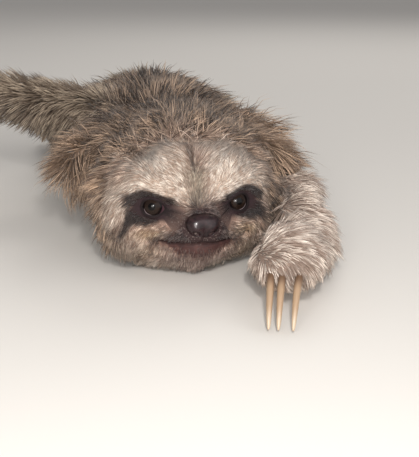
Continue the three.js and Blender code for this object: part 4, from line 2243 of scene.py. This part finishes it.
    def lines(
        self,
        hair: Hair,
        base: Array,
        normal: Array,
        flow: Array,
        depth: Array,
        rng: np.random.Generator,
    ) -> tuple[Array, Array]:
        """The middle line of every tuft.

        Args:
            hair: The zone's hair.
            base: The roots.
            normal: The skin's normals there.
            flow: The lie of the coat there.
            depth: The coat's depth there.
            rng: The random draws.

        Returns:
            For each tuft, rings + 1 points from root to tip, and the tuft that leads its lock.
        """
        count = len(base)
        drift = Ripple(14.0 * MM, self.seed + 50 + hair.zone.value, 3).at(base)
        fine = rng.normal(size=(count, 3))
        flow = flattened(flow + hair.wander * (0.7 * drift + 0.45 * fine), normal)
        sizes = Ripple(9.0 * MM, self.seed + 80 + hair.zone.value, 2).at(base)
        stray = rng.random(count) < hair.stray
        lift = hair.lift * (0.6 + 0.4 * smoothstep(2.0 * MM, 9.0 * MM, depth)) + 30.0 * stray
        lift = np.radians(lift * np.clip(1 + 0.22 * sizes[:, 0] + 0.2 * rng.normal(size=count), 0.3, 1.7))
        full = hair.length * MM
        grown = np.where(depth < 6.0 * MM, 1.85, 1.25 / np.maximum(np.sin(lift), 0.2)) * depth
        length = np.minimum(full, grown) * (1.0 + 0.3 * stray)
        length = length * np.clip(1 + 0.15 * sizes[:, 1] + 0.16 * rng.normal(size=count), 0.45, 1.5)
        up, along = np.sin(lift)[:, None], np.cos(lift)[:, None]
        stand = unit(flow * along + normal * up * 1.5)
        lean = unit(flow * along * 1.3 + normal * up * 0.75 + np.array([0.0, 0.0, -0.12]))
        side = np.cross(normal, flow)
        bend = side * (hair.curl * rng.normal(size=count))[:, None]
        middle = base + stand * length[:, None] * 0.5
        tip = middle + (lean + bend) * length[:, None] * 0.5
        tip, leader = self.clumped(hair, base, tip, rng)
        most = depth * np.clip(hair.cap + 0.45 * stray + 0.14 * rng.normal(size=count), 0.5, 1.35)
        over = np.maximum(dot(tip - base, normal) - most, 0.0)
        tip = tip - normal * (0.85 * over)[:, None]
        start = base - normal * 0.25 * MM
        steps = np.linspace(0.0, 1.0, hair.rings + 1)[None, :, None]
        a, b, c = start[:, None], middle[:, None], tip[:, None]
        made = (1 - steps) ** 2 * a + 2 * steps * (1 - steps) * b + steps**2 * c
        made[..., 2] = np.maximum(made[..., 2], self.floor)
        return made, leader

    def clumped(
        self, hair: Hair, base: Array, tip: Array, rng: np.random.Generator
    ) -> tuple[Array, Array]:
        """The tips drawn together into locks.

        Args:
            hair: The zone's hair.
            base: The roots.
            tip: The tips.
            rng: The random draws.

        Returns:
            The tips moved towards their lock's, and the tuft that leads each one's lock.
        """
        count = len(base)
        leaders = rng.choice(count, max(1, count // hair.lock), replace=False)
        tree = KDTree(len(leaders))
        for index, leader in enumerate(leaders):
            tree.insert(base[leader], index)
        tree.balance()
        own = leaders[[tree.find(row)[1] for row in base]]
        near = base + (tip[own] - base[own])
        goal = near + 0.85 * (base[own] - base)
        return tip + hair.clump * (goal - tip), own

    def tuft_mesh(
        self,
        hair: Hair,
        lines: Array,
        normal: Array,
        width: Array,
        map_root: Array,
    ) -> bpy.types.Object:
        """Closed three-sided tapered tufts along lines.

        Args:
            hair: The zone's hair.
            lines: The tufts' middle lines.
            normal: The skin's normals at the roots.
            width: How wide each tuft is at its widest.
            map_root: Where each root is on the bake map.

        Returns:
            The new object, with its tufts' along values and bake map.
        """
        count, rings = len(lines), hair.rings
        ahead = unit(lines[:, -1] - lines[:, 0])
        across = unit(np.cross(normal, ahead))
        above = np.cross(ahead, across)
        share = np.arange(rings) / rings
        girth = (0.75 + 0.5 * np.sin(math.pi * (share + 0.12))) * (1 - share**2 * 0.55)
        turns = np.radians([210.0, 330.0, 90.0])
        ring = (
            across[:, None, None] * np.cos(turns)[None, None, :, None]
            + above[:, None, None] * 0.7 * np.sin(turns)[None, None, :, None]
        )
        body = lines[:, :rings, None] + ring * (width[:, None] * girth[None] * 0.5)[..., None, None]
        verts = np.concatenate([body.reshape(count, rings * 3, 3), lines[:, -1:]], axis=1)
        verts[..., 2] = np.maximum(verts[..., 2], 0.05 * MM)
        per = rings * 3 + 1
        quads, tris = [], [(2, 1, 0)]
        for k in range(rings - 1):
            for j in range(3):
                n = (j + 1) % 3
                quads.append((3 * k + j, 3 * k + n, 3 * k + 3 + n, 3 * k + 3 + j))
        last = 3 * (rings - 1)
        tris += [(last + j, last + (j + 1) % 3, per - 1) for j in range(3)]
        pattern = [v for f in quads + tris for v in f]
        starts = np.cumsum([0] + [len(f) for f in quads + tris])[:-1]
        faces, loops = len(quads) + len(tris), len(pattern)
        shift = np.arange(count)[:, None]
        mesh = bpy.data.meshes.new(hair.name)
        mesh.vertices.add(count * per)
        mesh.vertices.foreach_set("co", verts.astype(np.float32).ravel())
        mesh.loops.add(count * loops)
        loop_points = (np.array(pattern)[None] + shift * per).ravel()
        mesh.loops.foreach_set("vertex_index", loop_points.astype(np.int32))
        mesh.polygons.add(count * faces)
        mesh.polygons.foreach_set("loop_start", (starts[None] + shift * loops).ravel().astype(np.int32))
        mesh.polygons.foreach_set("use_smooth", np.ones(count * faces, bool))
        mesh.update(calc_edges=True)
        mesh.validate()
        obj = bpy.data.objects.new(hair.name, mesh)
        bpy.context.scene.collection.objects.link(obj)
        steps = np.append(np.repeat(share, 3), 1.0)
        set_values(obj, "along", np.tile(steps, count))
        aside = np.append(np.tile([0.0, 1.0, 0.5], rings), 0.5)
        spot = np.stack([aside, steps], axis=1) - 0.5
        patch = np.clip(map_root[:, None] + PATCH * spot[None], 0.0, 1.0).reshape(-1, 2)
        layer = mesh.uv_layers.new(name=BAKE_MAP)
        layer.data.foreach_set("uv", patch[loop_points].astype(np.float32).ravel())
        return obj


# ---------------------------------------------------------------- studio


@dataclass(frozen=True)
class FloorFinish:
    """Plain pale studio board."""

    colour: Colour = (226, 222, 216)
    cloud: Colour = (206, 202, 196)

    def material(self) -> bpy.types.Material:
        """The floor's material.

        Returns:
            The finished material.
        """
        g = Graph("studio_floor")
        shade = g.mix(g.noise(0.4, 2.0) * 0.2, self.colour, self.cloud)
        return g.finish(shade, 0.85, Specular_IOR_Level=0.2)


@dataclass(frozen=True)
class Lamp:
    """A square area light, placed from the head's centre and aimed at it."""

    name: str
    offset: tuple[float, float, float]
    size: float
    power: float  # watts
    colour: tuple[float, float, float]


@dataclass
class Studio:
    """The floor, the lights and the camera."""

    head: Head
    lens: float = 75.03
    sensor: float = 36.0
    distance: float = 0.4
    rise: float = 15.0
    aim_right: float = 11.0 * MM
    aim_down: float = 11.8 * MM
    near_clip: float = 0.01
    floor_size: float = 30.0
    surround: tuple[float, float, float, float] = (0.9, 0.89, 0.9, 1.0)
    surround_strength: float = 0.36
    lamps: tuple[Lamp, ...] = (
        Lamp("key_light", (-0.16, -1.15, 0.37), 0.5, 11.2, (1.0, 0.965, 0.93)),
        Lamp("fill_light", (0.65, -0.7, 0.28), 1.2, 5.0, (0.98, 0.98, 1.0)),
        Lamp("rim_light", (0.3, 0.9, 0.8), 0.6, 3.2, (1.0, 0.98, 0.95)),
        Lamp("catch_light", (0.02, -0.41, 0.2), 0.02, 1.1, (1.0, 0.98, 0.96)),
    )

    def build(self) -> None:
        """Makes the floor, lights and camera."""
        deselect()
        bpy.ops.mesh.primitive_plane_add(size=self.floor_size)
        floor = bpy.context.view_layer.objects.active
        floor.name = "studio_floor"
        dress(floor, FloorFinish().material())
        self.camera()
        self.lights()

    def camera(self) -> None:
        """Sets the camera a little above the head, in front of it."""
        tilt = math.radians(self.rise)
        up = Vector((0.0, math.sin(tilt), math.cos(tilt)))
        back = Vector((0.0, -math.cos(tilt), math.sin(tilt)))
        centre = Vector(self.head.centre)
        place = centre + back * self.distance
        aim = centre + Vector((self.aim_right, 0.0, 0.0)) - up * self.aim_down
        deselect()
        bpy.ops.object.camera_add(location=place)
        camera = bpy.context.view_layer.objects.active
        camera.name = "portrait_camera"
        camera.rotation_euler = (aim - place).to_track_quat("-Z", "Y").to_euler()
        camera.data.lens = self.lens
        camera.data.sensor_width = self.sensor
        camera.data.clip_start = self.near_clip
        bpy.context.scene.camera = camera

    def lights(self) -> None:
        """Sets a soft key, a fill, a rim light and a pale surround."""
        centre = Vector(self.head.centre)
        for lamp_plan in self.lamps:
            deselect()
            place = centre + Vector(lamp_plan.offset)
            bpy.ops.object.light_add(type="AREA", location=place)
            lamp = bpy.context.view_layer.objects.active
            lamp.name = lamp_plan.name
            lamp.rotation_euler = (centre - place).to_track_quat("-Z", "Y").to_euler()
            lamp.data.size = lamp_plan.size
            lamp.data.energy = lamp_plan.power
            lamp.data.color = lamp_plan.colour
        world = bpy.data.worlds.new("studio_surround")
        bpy.context.scene.world = world
        world.use_nodes = True
        back = world.node_tree.nodes["Background"]
        back.inputs["Color"].default_value = self.surround
        back.inputs["Strength"].default_value = self.surround_strength
        bpy.context.scene.view_settings.view_transform = "Standard"


# ---------------------------------------------------------------- the whole


def write_sizes() -> None:
    """Updates the view layer.
    """
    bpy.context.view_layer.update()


def main() -> None:
    """Builds the whole model round the frame."""
    logging.basicConfig(level=logging.INFO, format="%(name)s: %(message)s")
    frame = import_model()
    head = Head()
    Studio(head).build()
    Eyes(head).build()
    Nose(head).build()
    Ears(head).build()
    Claws(frame).build()
    body = Body(frame, head)
    skin = body.build()
    Coat(body, skin).build()
    write_sizes()


if __name__ == "__main__":
    main()
